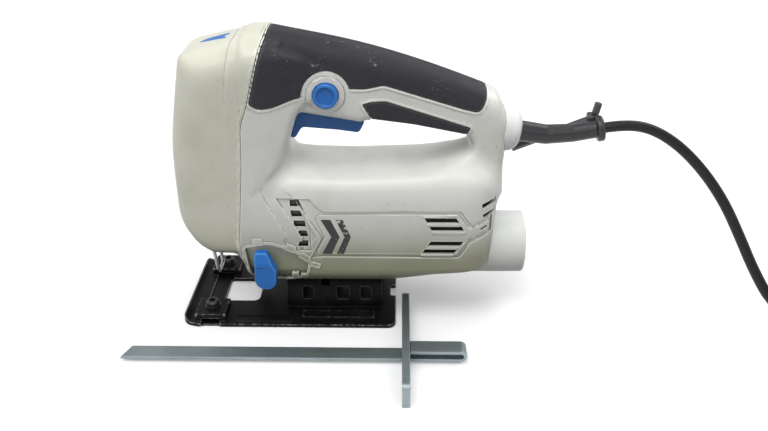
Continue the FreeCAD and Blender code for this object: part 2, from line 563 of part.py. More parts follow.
def make_plunger():
    """Reciprocating rod with the cross-slotted yoke that the crank pin works in."""
    top = GEAR_Z + CRANK_R
    shaft = rod(PLUNGER_R, (BLADE_X, 0, 50), (BLADE_X, 0, 160))
    save("plunger", shaft)
    yoke = block(BLADE_X - 6, BLADE_X + 7.5, -15.5, 15.5, top - 6.5, top + 6.5)
    slot = block(BLADE_X + 4.8, BLADE_X + 9, -12.2, 12.2, top - 2.9, top + 2.9)
    save("yoke", yoke.cut(slot).cut(rod(PLUNGER_R, (BLADE_X, 0, 50), (BLADE_X, 0, 160))))


def make_blade_clamp():
    """Split clamp on the plunger's foot with its socket screw; its slot takes a T-shank blade."""
    square = [(BLADE_X + a, b, 2) for a, b in ((-6, -6), (6, -6), (6, 6), (-6, 6))]
    body = plan_prism(square, 40, 57)
    body = body.cut(rod(PLUNGER_R, (BLADE_X, 0, 50), (BLADE_X, 0, 60)))
    body = body.cut(block(BLADE_X - 4.2, BLADE_X + 4.2, -0.9, 0.9, 39, 50.01))
    screw = rod(1.9, (BLADE_X - 7.0, 0, 46), (BLADE_X - 4.4, 0, 46))
    screw = screw.fuse(rod(3.1, (BLADE_X - 11, 0, 46), (BLADE_X - 7.0, 0, 46)))
    save("blade_clamp", body.cut(rod(1.9, (BLADE_X - 12, 0, 46), (BLADE_X - 4.4, 0, 46))))
    save("blade_clamp_screw", screw)


def make_gear_case():
    """Alloy gear case: bulkhead with bearing seats and the two arms that carry the plunger bushes."""
    plan = [(-26, 36.5, 4), (26, 36.5, 4), (26, 82, 8), (12, 100, 4), (-12, 100, 4), (-26, 82, 8)]
    pieces = [
        block(-4, 2, -9, 9, 96, 146),               # post behind the gear
        block(-44, 2, -9, 9, 131, 146),             # arm of the upper bush
        block(-4, BULKHEAD_X[0], -9, 9, 96, 103),
        rod(9, (BLADE_X, 0, 59), (BLADE_X, 0, 70)),     # lower bush
        block(BLADE_X, -24, -9, 9, 59, 70),
        block(-28, -24, -21, 21, 50, 70),
        *mirrored(-26, BULKHEAD_X[0], 16, 21, 46.5, 56),    # cheeks that hold the fork's pin
    ]
    case = end_prism(plan, *BULKHEAD_X).fuse(pieces)
    cuts = [
        rod(11.0, (BULKHEAD_X[0] + 1, 0, MOTOR_Z), (20, 0, MOTOR_Z)),
        rod(6.5, (0, 0, MOTOR_Z), (20, 0, MOTOR_Z)),
        rod(4.0 + RUNNING_FIT, (-6, 0, GEAR_Z), (20, 0, GEAR_Z)),
        rod(6.0, (BLADE_X, 0, 50), (BLADE_X, 0, 170)),
        rod(2.0, (FORK_X, -18, FORK_Z), (FORK_X, 18, FORK_Z)),
    ]
    save("gear_case", case.cut(cuts[0].fuse(cuts[1:])))
    bushes = [ring(6.0, PLUNGER_R + RUNNING_FIT, (BLADE_X, 0, low), (BLADE_X, 0, high))
              for low, high in ((59, 70), (131, 146))]
    Part.makeCompound(bushes).exportStep("parts/plunger_bushes.step")


def make_armature():
    """Motor shaft with its laminated core, commutator, fan and pinion."""
    shaft = rod(SHAFT_R, (GEAR_X + GEAR_WIDTH + 2, 0, MOTOR_Z), (REAR_BEARING_X[1] + 1, 0, MOTOR_Z))
    stub = rod(2.6, (GEAR_X, 0, MOTOR_Z), (GEAR_X + GEAR_WIDTH + 2, 0, MOTOR_Z))
    save("motor_shaft", shaft.fuse(stub))
    core = ring(CORE_R, SHAFT_R, (STATOR_X[0] + 1, 0, MOTOR_Z), (STATOR_X[1] - 1, 0, MOTOR_Z))
    slots = [block(STATOR_X[0], STATOR_X[1], -1.2, 1.2, CORE_R - 4, CORE_R + 2) for _ in range(12)]
    for k, slot in enumerate(slots):
        slot.rotate(V(0, 0, 0), X, 30 * k)
        slot.translate(V(0, 0, MOTOR_Z))
    save("armature_core", core.cut(slots[0].fuse(slots[1:])))
    save("commutator", ring(11.0, SHAFT_R, (COMMUTATOR_X[0], 0, MOTOR_Z), (COMMUTATOR_X[1], 0, MOTOR_Z)))
    hub = ring(12.0, SHAFT_R, (FAN_X[0], 0, MOTOR_Z), (FAN_X[1], 0, MOTOR_Z))
    disc = ring(FAN_R, 11.0, (FAN_X[0], 0, MOTOR_Z), (FAN_X[0] + 1.6, 0, MOTOR_Z))
    blades = []
    for k in range(10):
        blade = block(FAN_X[0] + 1, FAN_X[1], -0.8, 0.8, 11.0, FAN_R - 0.5)
        blade.rotate(V(0, 0, 0), X, 36 * k)
        blade.translate(V(0, 0, MOTOR_Z))
        blades.append(blade)
    save("cooling_fan", hub.fuse([disc] + blades))
    pinion = toothed_wheel(PINION_TEETH, GEAR_X, GEAR_WIDTH, MOTOR_Z, 180.0 / PINION_TEETH)
    save("pinion", pinion.cut(rod(2.6, (GEAR_X - 1, 0, MOTOR_Z), (GEAR_X + GEAR_WIDTH + 1, 0, MOTOR_Z))))


def make_motor():
    """Field core, bearings, rear bearing bracket, brush holders and brushes."""
    core = rod(STATOR_R, (STATOR_X[0], 0, MOTOR_Z), (STATOR_X[1], 0, MOTOR_Z))
    core = core.common(block(40, 100, -25.5, 25.5, 36.8, 89))
    core = core.cut(rod(CORE_R + 0.6, (40, 0, MOTOR_Z), (100, 0, MOTOR_Z)))
    save("field_core", core.cut(mirrored(40, 100, 17.0, 21.5, MOTOR_Z - 13, MOTOR_Z + 13)))
    coils = mirrored(STATOR_X[0] - 5, STATOR_X[1] + 4, 18.4, 21.4, MOTOR_Z - 12.6, MOTOR_Z + 12.6)
    Part.makeCompound(coils).exportStep("parts/field_coils.step")
    bearings = [ring(outer, SHAFT_R + RUNNING_FIT, (x0, 0, MOTOR_Z), (x1, 0, MOTOR_Z))
                for outer, (x0, x1) in ((11.0, FRONT_BEARING_X), (9.5, REAR_BEARING_X))]
    Part.makeCompound(bearings).exportStep("parts/bearings.step")
    bracket = block(REAR_BEARING_X[0], REAR_BEARING_X[1], -22, 22, MOTOR_Z + 3, MOTOR_Z + 12)
    bracket = bracket.fuse(rod(13, (REAR_BEARING_X[0], 0, MOTOR_Z), (REAR_BEARING_X[1], 0, MOTOR_Z)))
    save("rear_bearing_bracket", bracket.cut(rod(9.5, (100, 0, MOTOR_Z), (125, 0, MOTOR_Z))))
    brush_way = block(99, 104, -40, 40, MOTOR_Z - 3, MOTOR_Z + 3)
    tubes = mirrored(97.5, 105.5, 12.0, 27.0, MOTOR_Z - 4.5, MOTOR_Z + 4.5)
    holders = [tube.cut(brush_way) for tube in tubes]
    brushes = mirrored(99, 104, 11.15, 24.0, MOTOR_Z - 3, MOTOR_Z + 3)
    Part.makeCompound(holders).exportStep("parts/brush_holders.step")
    Part.makeCompound(brushes).exportStep("parts/brushes.step")


# ---- orbit mechanism ----------------------------------------------------------------------------------
def make_orbit_fork():
    """Swinging fork that pushes the blade forward on the up-stroke, hung from a cross pin."""
    arms = []
    for sign in (-1, 1):
        low, high = sorted((sign * 3.6, sign * 5.6))
        outline = [(FORK_X - 3, FORK_Z + 5, 0), (FORK_X + 4, FORK_Z + 5, 0), (FORK_X + 5, FORK_Z + 1, 0),
                   (FORK_X + 3, 30, 0), (ROLLER_X + 4, ROLLER_Z - 2, 0), (ROLLER_X + 2, ROLLER_Z - 3.5, 0),
                   (ROLLER_X - 2, ROLLER_Z - 3.5, 0), (ROLLER_X - 3.5, ROLLER_Z, 0), (ROLLER_X - 1.5, 30, 0),
                   (FORK_X - 4, FORK_Z, 0)]
        arms.append(side_prism(outline, low, high))
    web = block(FORK_X - 1, FORK_X + 3.5, -3.7, 3.7, 33, 53)
    fork = arms[0].fuse([arms[1], web])
    fork = fork.cut(rod(2.0 + RUNNING_FIT, (FORK_X, -10, FORK_Z), (FORK_X, 10, FORK_Z)))
    pin = rod(1.6, (ROLLER_X, -6.6, ROLLER_Z), (ROLLER_X, 6.6, ROLLER_Z))
    save("orbit_fork", fork.fuse(pin))
    save("fork_pin", rod(2.0, (FORK_X, -18, FORK_Z), (FORK_X, 18, FORK_Z)))


def make_guide_roller():
    """Grooved roller behind the blade."""
    roller = rod(ROLLER_R, (ROLLER_X, -3.1, ROLLER_Z), (ROLLER_X, 3.1, ROLLER_Z))
    groove = ring(ROLLER_R + 1, ROLLER_R - 1.2, (ROLLER_X, -0.8, ROLLER_Z), (ROLLER_X, 0.8, ROLLER_Z))
    bore = rod(1.6 + RUNNING_FIT, (ROLLER_X, -4, ROLLER_Z), (ROLLER_X, 4, ROLLER_Z))
    save("guide_roller", roller.cut(groove).cut(bore))


def make_selector():
    """Orbit selector: a wedge-shaped lever on a hub, with its shaft and eccentric inside the body."""
    face_y, back_y = -39.5, -32.4
    hub = rod(SELECTOR_R, (SELECTOR_X, face_y, SELECTOR_Z), (SELECTOR_X, back_y, SELECTOR_Z))
    arm = side_prism([(SELECTOR_X - SELECTOR_R, SELECTOR_Z, 0), (SELECTOR_X + SELECTOR_R, SELECTOR_Z, 0),
                      (SELECTOR_X + 2.6, 54.2, 2), (SELECTOR_X - 5.6, 54.2, 2)], face_y, back_y)
    lever = hub.fuse(arm)
    bevel = end_prism([(face_y - 1, 48, 0), (face_y + 3.5, 60, 0), (face_y - 10, 60, 0)], -30, 10)
    save("selector_lever", lever.cut(bevel))
    shaft = rod(3.9, (SELECTOR_X, back_y, SELECTOR_Z), (SELECTOR_X, -17, SELECTOR_Z))
    cam = rod(3.0, (SELECTOR_X + 0.8, -17, SELECTOR_Z), (SELECTOR_X + 0.8, -9.5, SELECTOR_Z))
    save("selector_shaft", shaft.fuse(cam))


# ---- controls -----------------------------------------------------------------------------------------
def make_trigger():
    """Long trigger below the handle, hooked at the front, turning on a pin at its rear end."""
    outline = [(TRIGGER_X + 3, TRIGGER_Z + 3, 2.5), (TRIGGER_X + 3, TRIGGER_Z - 3, 2.5), (49.6, 133, 1),
               (49, 126.4, 2), (46, 121.4, 2.5), (34, 123.4, 20), (14.5, 125.0, 2), (9.0, 118.4, 1.5),
               (6.6, 118.6, 1), (7.2, 135.5, 2), (13, 139.5, 2), (46, 136, 6)]
    lever = side_prism(outline, -6.0, 6.0)
    bore = rod(1.8 + RUNNING_FIT, (TRIGGER_X, -10, TRIGGER_Z), (TRIGGER_X, 10, TRIGGER_Z))
    save("trigger", lever.cut(bore))
    save("trigger_pin", rod(1.8, (TRIGGER_X, -14.4, TRIGGER_Z), (TRIGGER_X, 14.4, TRIGGER_Z)))


def make_lock_button():
    """Push button on the left side that holds the trigger in."""
    face_y = -HANDLE_HALF - 2.4
    cap = rod(BUTTON_R, (BUTTON_X, face_y, BUTTON_Z), (BUTTON_X, -13.6, BUTTON_Z))
    stem = rod(2.5, (BUTTON_X, -13.7, BUTTON_Z), (BUTTON_X, -11.4, BUTTON_Z))
    dish = rod(5.2, (BUTTON_X, face_y - 1, BUTTON_Z), (BUTTON_X, face_y + 0.7, BUTTON_Z))
    save("lock_button", cap.cut(dish).fuse(stem))


def make_switch():
    """Trigger switch, interference capacitor and cord clamp, inside the handle."""
    body = block(17, 43, -7.6, 7.6, 145.6, 164)
    nose = block(20, 27, -3, 3, 143.4, 145.6)
    save("switch_block", body.fuse(nose))
    save("capacitor", block(70, 92, -6, 6, 131, 146))
    clamp = block(108, 118, -11, 11, 124.2, 127.5).fuse(block(108, 118, -11, 11, 133.5, 136.5))
    clamp = clamp.fuse([block(108, 118, -11, -8, 124.2, 136.5), block(108, 118, 8, 11, 124.2, 136.5)])
    save("cord_clamp", clamp)


# ---- rip guide ----------------------------------------------------------------------------------------
def make_guide():
    """Rip guide: a flat steel arm folded back on itself at one end, with a fence bar across it."""
    y0, y1 = GUIDE_Y - ARM_WIDTH / 2, GUIDE_Y + ARM_WIDTH / 2
    bottom, bend_x, leaf_x = 2.0, 107.0, FENCE_X + FENCE_SHEET
    gap = 2.6
    lower = block(-96.5, bend_x, y0, y1, bottom, bottom + ARM_SHEET)
    upper = block(leaf_x, bend_x, y0, y1, bottom + ARM_SHEET + gap, bottom + 2 * ARM_SHEET + gap)
    bend_z = bottom + ARM_SHEET + gap / 2
    outer_r = ARM_SHEET + gap / 2
    bend = ring(outer_r, gap / 2, (bend_x, y0, bend_z), (bend_x, y1, bend_z))
    bend = bend.cut(block(90, bend_x, -200, 0, -5, 30))
    arm = lower.fuse([upper, bend])
    save("guide_arm", arm)
    outline = [(-110, 0, 2), (-18.5, 0, 2), (-18.5, FENCE_HEIGHT, 4), (-110, FENCE_HEIGHT, 4)]
    fence = end_prism(outline, FENCE_X, FENCE_X + FENCE_SHEET)
    slot = block(60, 90, y0, y1, bottom, bottom + ARM_SHEET)
    save("guide_fence", fence.cut(slot))


# ---- mains lead ---------------------------------------------------------------------------------------
def make_cord():
    """Lead from the saw to its coil and from the coil to the plug, with the coil as one closed ring."""
    for name, route in (("mains_cord", CORD_ROUTE), ("plug_lead", TAIL_ROUTE)):
        tube, length, smallest = bent_cord(route)
        share = tube.Volume / (math.pi * CORD_R ** 2 * length)
        print(f"{name}: {length:.1f} mm, smallest radius {smallest:.1f} mm, volume share {share:.4f}")
        save(name, tube)
    x, y = COIL_CENTRE
    half = COIL_STRANDS * CORD_R
    height = COIL_STRANDS * 2 * CORD_R
    save("cord_coil", ring(COIL_MEAN_R + half, COIL_MEAN_R - half, (x, y, 0), (x, y, height)))


def make_plug():
    """Flat moulded two-pin plug lying on its side, tapered to the lead."""
    back, y, z = TAIL_ROUTE[-1]
    front = back + PLUG_LENGTH
    plan = [(back, -6, 1), (back + 12, -7, 8), (back + 22, -PLUG_HALF, 8), (front, -PLUG_HALF, 3),
            (front, PLUG_HALF, 3), (back + 22, PLUG_HALF, 8), (back + 12, 7, 8), (back, 6, 1)]
    side = [(back, z - 6, 2), (back + 14, 0, 8), (front, 0, 2), (front, PLUG_THICK, 2),
            (back + 14, PLUG_THICK, 8), (back, z + 6, 2)]
    body = plan_prism(plan, 0, PLUG_THICK)
    body.translate(V(0, y, 0))
    save("plug", body.common(side_prism(side, y - 30, y + 30)))
    pins = []
    for pin_y in (y - PIN_SPACING / 2, y + PIN_SPACING / 2):
        pins.append(rod(PIN_R, (front, pin_y, z), (front + PIN_LENGTH, pin_y, z)))
    Part.makeCompound(pins).exportStep("parts/plug_pins.step")


def main():
    os.makedirs("parts", exist_ok=True)
    outer = make_housing()
    make_housing_screws()
    make_top_inlay(outer)
    make_dust_port()
    make_cord_entry(outer)
    make_cord_guard()
    save("hex_key", hex_key())
    make_sole_plate()
    make_guide_clamps()
    make_bevel_saddle()
    make_saddle_seat()
    make_bevel_screw()
    make_blade_guard()
    make_drive_gear()
    make_plunger()
    make_blade_clamp()
    make_gear_case()
    make_armature()
    make_motor()
    make_orbit_fork()
    make_guide_roller()
    make_selector()
    make_trigger()
    make_lock_button()
    make_switch()
    make_guide()
    make_cord()
    make_plug()


if __name__ == "__main__":
    main()
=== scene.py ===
"""Hand-held jigsaw with its rip guide and mains lead: the visual model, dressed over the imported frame.

Lengths are written in millimetres in the frame of the part (+X towards the cord, -Y the user's left, +Z up)
and become metres where a mesh, a curve or the camera is made. The moulded pieces are distance fields: each
one is the meeting of a few outlines with rounded corners, and a surface net turns it into a closed mesh that
keeps its sharp edges. What repeats is laid out by Geometry Nodes and baked to plain meshes.
"""

import logging
import math
from dataclasses import dataclass, fields
from enum import Enum
from functools import partial
from typing import Callable, Mapping, Sequence

import bpy
import numpy as np
from mathutils import Matrix, Vector


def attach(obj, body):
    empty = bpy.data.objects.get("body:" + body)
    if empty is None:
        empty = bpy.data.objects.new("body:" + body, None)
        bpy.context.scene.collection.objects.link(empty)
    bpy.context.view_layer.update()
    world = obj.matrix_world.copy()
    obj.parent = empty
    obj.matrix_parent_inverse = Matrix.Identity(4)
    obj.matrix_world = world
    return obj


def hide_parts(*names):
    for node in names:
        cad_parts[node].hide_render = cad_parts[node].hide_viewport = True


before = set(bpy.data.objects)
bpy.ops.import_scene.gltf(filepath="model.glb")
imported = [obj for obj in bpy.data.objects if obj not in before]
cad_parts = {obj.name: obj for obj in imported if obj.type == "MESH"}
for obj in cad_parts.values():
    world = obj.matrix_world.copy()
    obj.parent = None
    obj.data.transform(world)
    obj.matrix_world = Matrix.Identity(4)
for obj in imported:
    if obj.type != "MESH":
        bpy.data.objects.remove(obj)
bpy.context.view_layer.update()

LOG = logging.getLogger("jigsaw")
MM = 0.001

Array = np.ndarray
Field = Callable[[Array, Array, Array], Array]
Point2 = tuple[float, float]
Point3 = tuple[float, float, float]
Corner = tuple[float, float, float]


# ---- node trees as expressions ---------------------------------------------------------------------------
def srgb(red: int, green: int, blue: int) -> tuple[float, float, float, float]:
    """Colour as seen on a screen, 0 to 255, turned into the linear values that shaders use.

    Args:
        red, green, blue: The colour, each from 0 to 255.

    Returns:
        Linear red, green and blue, and full cover.
    """
    parts = [value / 255 for value in (red, green, blue)]
    linear = [part / 12.92 if part <= 0.04045 else ((part + 0.055) / 1.055) ** 2.4 for part in parts]
    return (*linear, 1.0)


class Link:
    """A node's output that takes part in Python arithmetic; each operation adds one Math node."""

    def __init__(self, nodes: "Nodes", socket: bpy.types.NodeSocket) -> None:
        """Remember the tree that the socket belongs to."""
        self.nodes = nodes
        self.socket = socket

    def _apply(self, operation: str, first: "Link | float", second: "Link | float" = 0.0) -> "Link":
        """Add a Math node for one operation on one or two values."""
        return self.nodes.add("ShaderNodeMath", {"operation": operation}, {0: first, 1: second})

    def __add__(self, other: "Link | float") -> "Link":
        """Sum."""
        return self._apply("ADD", self, other)

    def __sub__(self, other: "Link | float") -> "Link":
        """Difference."""
        return self._apply("SUBTRACT", self, other)

    def __rsub__(self, other: float) -> "Link":
        """Difference from a number."""
        return self._apply("SUBTRACT", other, self)

    def __mul__(self, other: "Link | float") -> "Link":
        """Product."""
        return self._apply("MULTIPLY", self, other)

    def __abs__(self) -> "Link":
        """Size without the sign."""
        return self._apply("ABSOLUTE", self)

    def step(self, low: float, high: float) -> "Link":
        """Smooth step from 0 at low to 1 at high.

        Args:
            low: Value at which the result starts to rise.
            high: Value at which it reaches 1; below low, the step falls instead.

        Returns:
            The stepped value.
        """
        settings = {"interpolation_type": "SMOOTHSTEP"}
        sockets = {"Value": self, "From Min": low, "From Max": high}
        return self.nodes.add("ShaderNodeMapRange", settings, sockets)


class Nodes:
    """Any node tree, with one method that adds a node."""

    def __init__(self, tree: bpy.types.NodeTree) -> None:
        """Remember the tree."""
        self.tree = tree

    def add(self, kind: str, settings: Mapping | None = None, sockets: Mapping | None = None,
            output: int | str = 0) -> Link:
        """Add any node.

        Args:
            kind: The node's type.
            settings: Its properties, set first.
            sockets: Values or links of its inputs, by name or place.
            output: The output that is handed back.

        Returns:
            That output, ready for arithmetic.
        """
        node = self.tree.nodes.new(kind)
        for key, value in (settings or {}).items():
            setattr(node, key, value)
        for key, value in (sockets or {}).items():
            if isinstance(value, Link):
                self.tree.links.new(value.socket, node.inputs[key])
            else:
                node.inputs[key].default_value = value
        return Link(self, node.outputs[output])


class Shader(Nodes):
    """Node tree of one material, with the few building blocks that the finishes share."""

    def __init__(self, name: str) -> None:
        """Make an empty material with its output node.

        Args:
            name: Name of the material.
        """
        self.material = bpy.data.materials.new(name)
        self.material.use_nodes = True
        super().__init__(self.material.node_tree)
        self.tree.nodes.clear()
        self.output = self.tree.nodes.new("ShaderNodeOutputMaterial")

    def place(self, scale: Point3 = (1.0, 1.0, 1.0), turn: Point3 = (0.0, 0.0, 0.0)) -> Link:
        """Object coordinates in millimetres, stretched by scale and turned in degrees.

        Args:
            scale: Stretch along each axis; below 1, patterns are drawn out along it.
            turn: Turn about each axis, in degrees.

        Returns:
            The coordinates.
        """
        coordinates = self.add("ShaderNodeTexCoord", output="Object")
        sockets = {"Vector": coordinates, "Scale": tuple(1000 * s for s in scale),
                   "Rotation": tuple(math.radians(a) for a in turn)}
        return self.add("ShaderNodeMapping", {}, sockets)

    def noise(self, size: float, detail: float = 2.0, rough: float = 0.5, at: Link | None = None) -> Link:
        """Noise whose patches are about size millimetres wide.

        Args:
            size: Width of a patch.
            detail: Octaves of finer noise.
            rough: Strength of the finer octaves.
            at: Coordinates, or the plain place.

        Returns:
            Values from 0 to 1.
        """
        sockets = {"Vector": at or self.place(), "Scale": 1.0 / size, "Detail": detail, "Roughness": rough}
        return self.add("ShaderNodeTexNoise", {"noise_dimensions": "3D"}, sockets)

    def cells(self, size: float) -> Link:
        """Distance to the nearest of many scattered points about size millimetres apart."""
        sockets = {"Vector": self.place(), "Scale": 1.0 / size}
        return self.add("ShaderNodeTexVoronoi", {"feature": "F1"}, sockets, "Distance")

    def side_view(self) -> tuple[Link, Link, Link]:
        """Object coordinates in millimetres, one by one."""
        place = self.place()
        return tuple(self.add("ShaderNodeSeparateXYZ", {}, {0: place}, axis) for axis in "XYZ")

    def mix(self, share: Link | float, first: Link | tuple, second: Link | tuple) -> Link:
        """Colour between first and second."""
        sockets = {0: share, 6: first, 7: second}
        return self.add("ShaderNodeMix", {"data_type": "RGBA", "clamp_factor": True}, sockets, 2)

    def attribute(self, name: str) -> Link:
        """A piece's own attribute, from 0 to 1."""
        return self.add("ShaderNodeAttribute", {"attribute_name": name}, {}, "Fac")

    def bump(self, height: Link, depth: float) -> Link:
        """Normal of a relief depth millimetres deep."""
        return self.add("ShaderNodeBump", {}, {"Height": height, "Strength": 1.0, "Distance": depth * MM})

    def surface(self, **sockets: Link | float | tuple) -> bpy.types.Material:
        """Finish the material with a Principled shader.

        Args:
            **sockets: Its inputs by name, with underscores for spaces.

        Returns:
            The finished material.
        """
        named = {key.replace("_", " "): value for key, value in sockets.items()}
        shader = self.add("ShaderNodeBsdfPrincipled", {}, named)
        self.tree.links.new(shader.socket, self.output.inputs["Surface"])
        return self.material


# ---- distance fields and their surfaces -----------------------------------------------------------------
def round_max(first: Array, second: Array, size: float | Array = 0.0) -> Array:
    """Meeting of two forms, with the edge between them rounded over about size millimetres.

    Args:
        first: Distances to one form.
        second: Distances to the other.
        size: Width of the rounding, the same everywhere or one for each place.

    Returns:
        Distances to the meeting.
    """
    if np.max(size) <= 0.0:
        return np.maximum(first, second)
    size = np.maximum(size, 1e-3)
    share = np.clip(0.5 + 0.5 * (first - second) / size, 0.0, 1.0)
    return second + (first - second) * share + size * share * (1.0 - share)


def round_min(first: Array, second: Array, size: float | Array = 0.0) -> Array:
    """Union of two forms, with a fillet of about size millimetres between them."""
    return -round_max(-first, -second, size)


def box_field(x: Array, y: Array, z: Array, low: Point3, high: Point3, radius: float = 0.0) -> Array:
    """Distance to a block with rounded edges.

    Args:
        x, y, z: Where to measure, in millimetres.
        low: Lowest corner.
        high: Highest corner.
        radius: Radius of the edges.

    Returns:
        Signed distances, negative inside.
    """
    gaps = [np.abs(c - (a + b) / 2) - (b - a) / 2 + radius for c, a, b in zip((x, y, z), low, high)]
    outside = np.sqrt(sum(np.maximum(gap, 0.0) ** 2 for gap in gaps))
    inside = np.minimum(np.maximum(np.maximum(gaps[0], gaps[1]), gaps[2]), 0.0)
    return outside + inside - radius


def rod_field(x: Array, y: Array, z: Array, start: Point3, end: Point3, radius: float,
              rounding: float = 0.0, end_radius: float | None = None) -> Array:
    """Distance to a round rod or cone between two points, its rims rounded.

    Args:
        x, y, z: Where to measure, in millimetres.
        start: Middle of one end.
        end: Middle of the other end.
        radius: Radius at the start.
        rounding: Radius of the rims.
        end_radius: Radius at the end, where it isn't the same.

    Returns:
        Signed distances, negative inside.
    """
    axis = np.subtract(end, start)
    length = float(np.linalg.norm(axis))
    axis = axis / length
    px, py, pz = x - start[0], y - start[1], z - start[2]
    along = px * axis[0] + py * axis[1] + pz * axis[2]
    away = np.sqrt(np.maximum(px * px + py * py + pz * pz - along * along, 0.0))
    taper = 0.0 if end_radius is None else (end_radius - radius) / length
    reach = radius + taper * np.clip(along, 0.0, length)
    return round_max(away - reach, np.abs(along - length / 2) - length / 2, rounding)


class Outline:
    """Closed outline of straight runs and tangent arcs, kept as a table of signed distances."""

    def __init__(self, corners: Sequence[Corner], pitch: float = 0.4, margin: float = 10.0) -> None:
        """Measure the outline once on a fine grid.

        Args:
            corners: The corners, each with the radius that rounds it.
            pitch: Spacing of the table.
            margin: How far the table reaches past the outline.
        """
        places = np.array([corner[:2] for corner in corners], float)
        self.pitch = pitch
        self.low = places.min(axis=0) - margin
        counts = np.ceil((places.max(axis=0) + margin - self.low) / pitch).astype(int) + 1
        across = self.low[0] + pitch * np.arange(counts[0])[:, None]
        upward = self.low[1] + pitch * np.arange(counts[1])[None, :]
        self.table = self._measure(corners, across, upward)
        self.last = counts - 1.001

    @staticmethod
    def _measure(corners: Sequence[Corner], a: Array, b: Array) -> Array:
        """Signed distance at every point of the table, negative inside.

        Args:
            corners: The corners with their radii.
            a, b: The table's rows and columns.

        Returns:
            Signed distances, negative inside.
        """
        ends, arcs = [], []
        for index, (ca, cb, radius) in enumerate(corners):
            corner = np.array((ca, cb), float)
            back = np.array(corners[index - 1][:2]) - corner
            forth = np.array(corners[(index + 1) % len(corners)][:2]) - corner
            back, forth = back / np.hypot(*back), forth / np.hypot(*forth)
            half = 0.5 * math.acos(float(np.clip(back @ forth, -1.0, 1.0)))
            reach = radius / math.tan(half)
            ends.append((corner + back * reach, corner + forth * reach))
            if radius > 0:
                middle = (back + forth) / np.hypot(*(back + forth))
                arcs.append((corner + middle * radius / math.sin(half), middle, radius, math.sin(half)))
        nearest = np.full(np.broadcast(a, b).shape, np.inf)
        inside = np.zeros(nearest.shape, bool)
        for index, (start, end) in enumerate(ends):
            following = ends[(index + 1) % len(ends)][0]
            for first, second, measured in ((start, end, False), (end, following, True)):
                run = second - first
                pa, pb = a - first[0], b - first[1]
                if abs(run[1]) > 1e-9:
                    inside ^= ((first[1] > b) != (second[1] > b)) & (pa < run[0] * pb / run[1])
                if measured and run @ run > 1e-12:
                    share = np.clip((pa * run[0] + pb * run[1]) / (run @ run), 0.0, 1.0)
                    nearest = np.minimum(nearest, np.hypot(pa - run[0] * share, pb - run[1] * share))
        for centre, middle, radius, sine in arcs:
            pa, pb = a - centre[0], b - centre[1]
            away = np.hypot(pa, pb)
            outward = -(pa * middle[0] + pb * middle[1])
            nearest = np.where(outward >= away * sine, np.minimum(nearest, np.abs(away - radius)), nearest)
            inside ^= (away < radius) & (outward > radius * sine)
        return np.where(inside, -nearest, nearest)

    def __call__(self, a: Array, b: Array) -> Array:
        """Signed distance at any points, read from the table.

        Args:
            a, b: Where to measure, in the outline's own plane.

        Returns:
            Signed distances, negative inside.
        """
        u = np.clip((a - self.low[0]) / self.pitch, 0.0, self.last[0])
        v = np.clip((b - self.low[1]) / self.pitch, 0.0, self.last[1])
        i, j = u.astype(np.int64), v.astype(np.int64)
        u, v = u - i, v - j
        flat = self.table.ravel()
        place = i * self.table.shape[1] + j
        below = flat[place] * (1 - v) + flat[place + 1] * v
        place = place + self.table.shape[1]
        above = flat[place] * (1 - v) + flat[place + 1] * v
        return below * (1 - u) + above * u


def planes(low: float, high: float, step: float, fine: tuple[float, float, float] | None = None) -> Array:
    """Grid planes from low to high, step apart, and closer in a fine stretch (start, end, step).

    Args:
        low: First plane.
        high: Last plane.
        step: Distance between planes.
        fine: Start, end and step of the fine stretch, or nothing.

    Returns:
        The planes in order.
    """
    if fine is None:
        return np.linspace(low, high, max(2, round((high - low) / step) + 1))
    start, end, close = fine
    runs = [planes(low, start, step)[:-1], planes(start, end, close), planes(end, high, step)[1:]]
    return np.concatenate(runs)


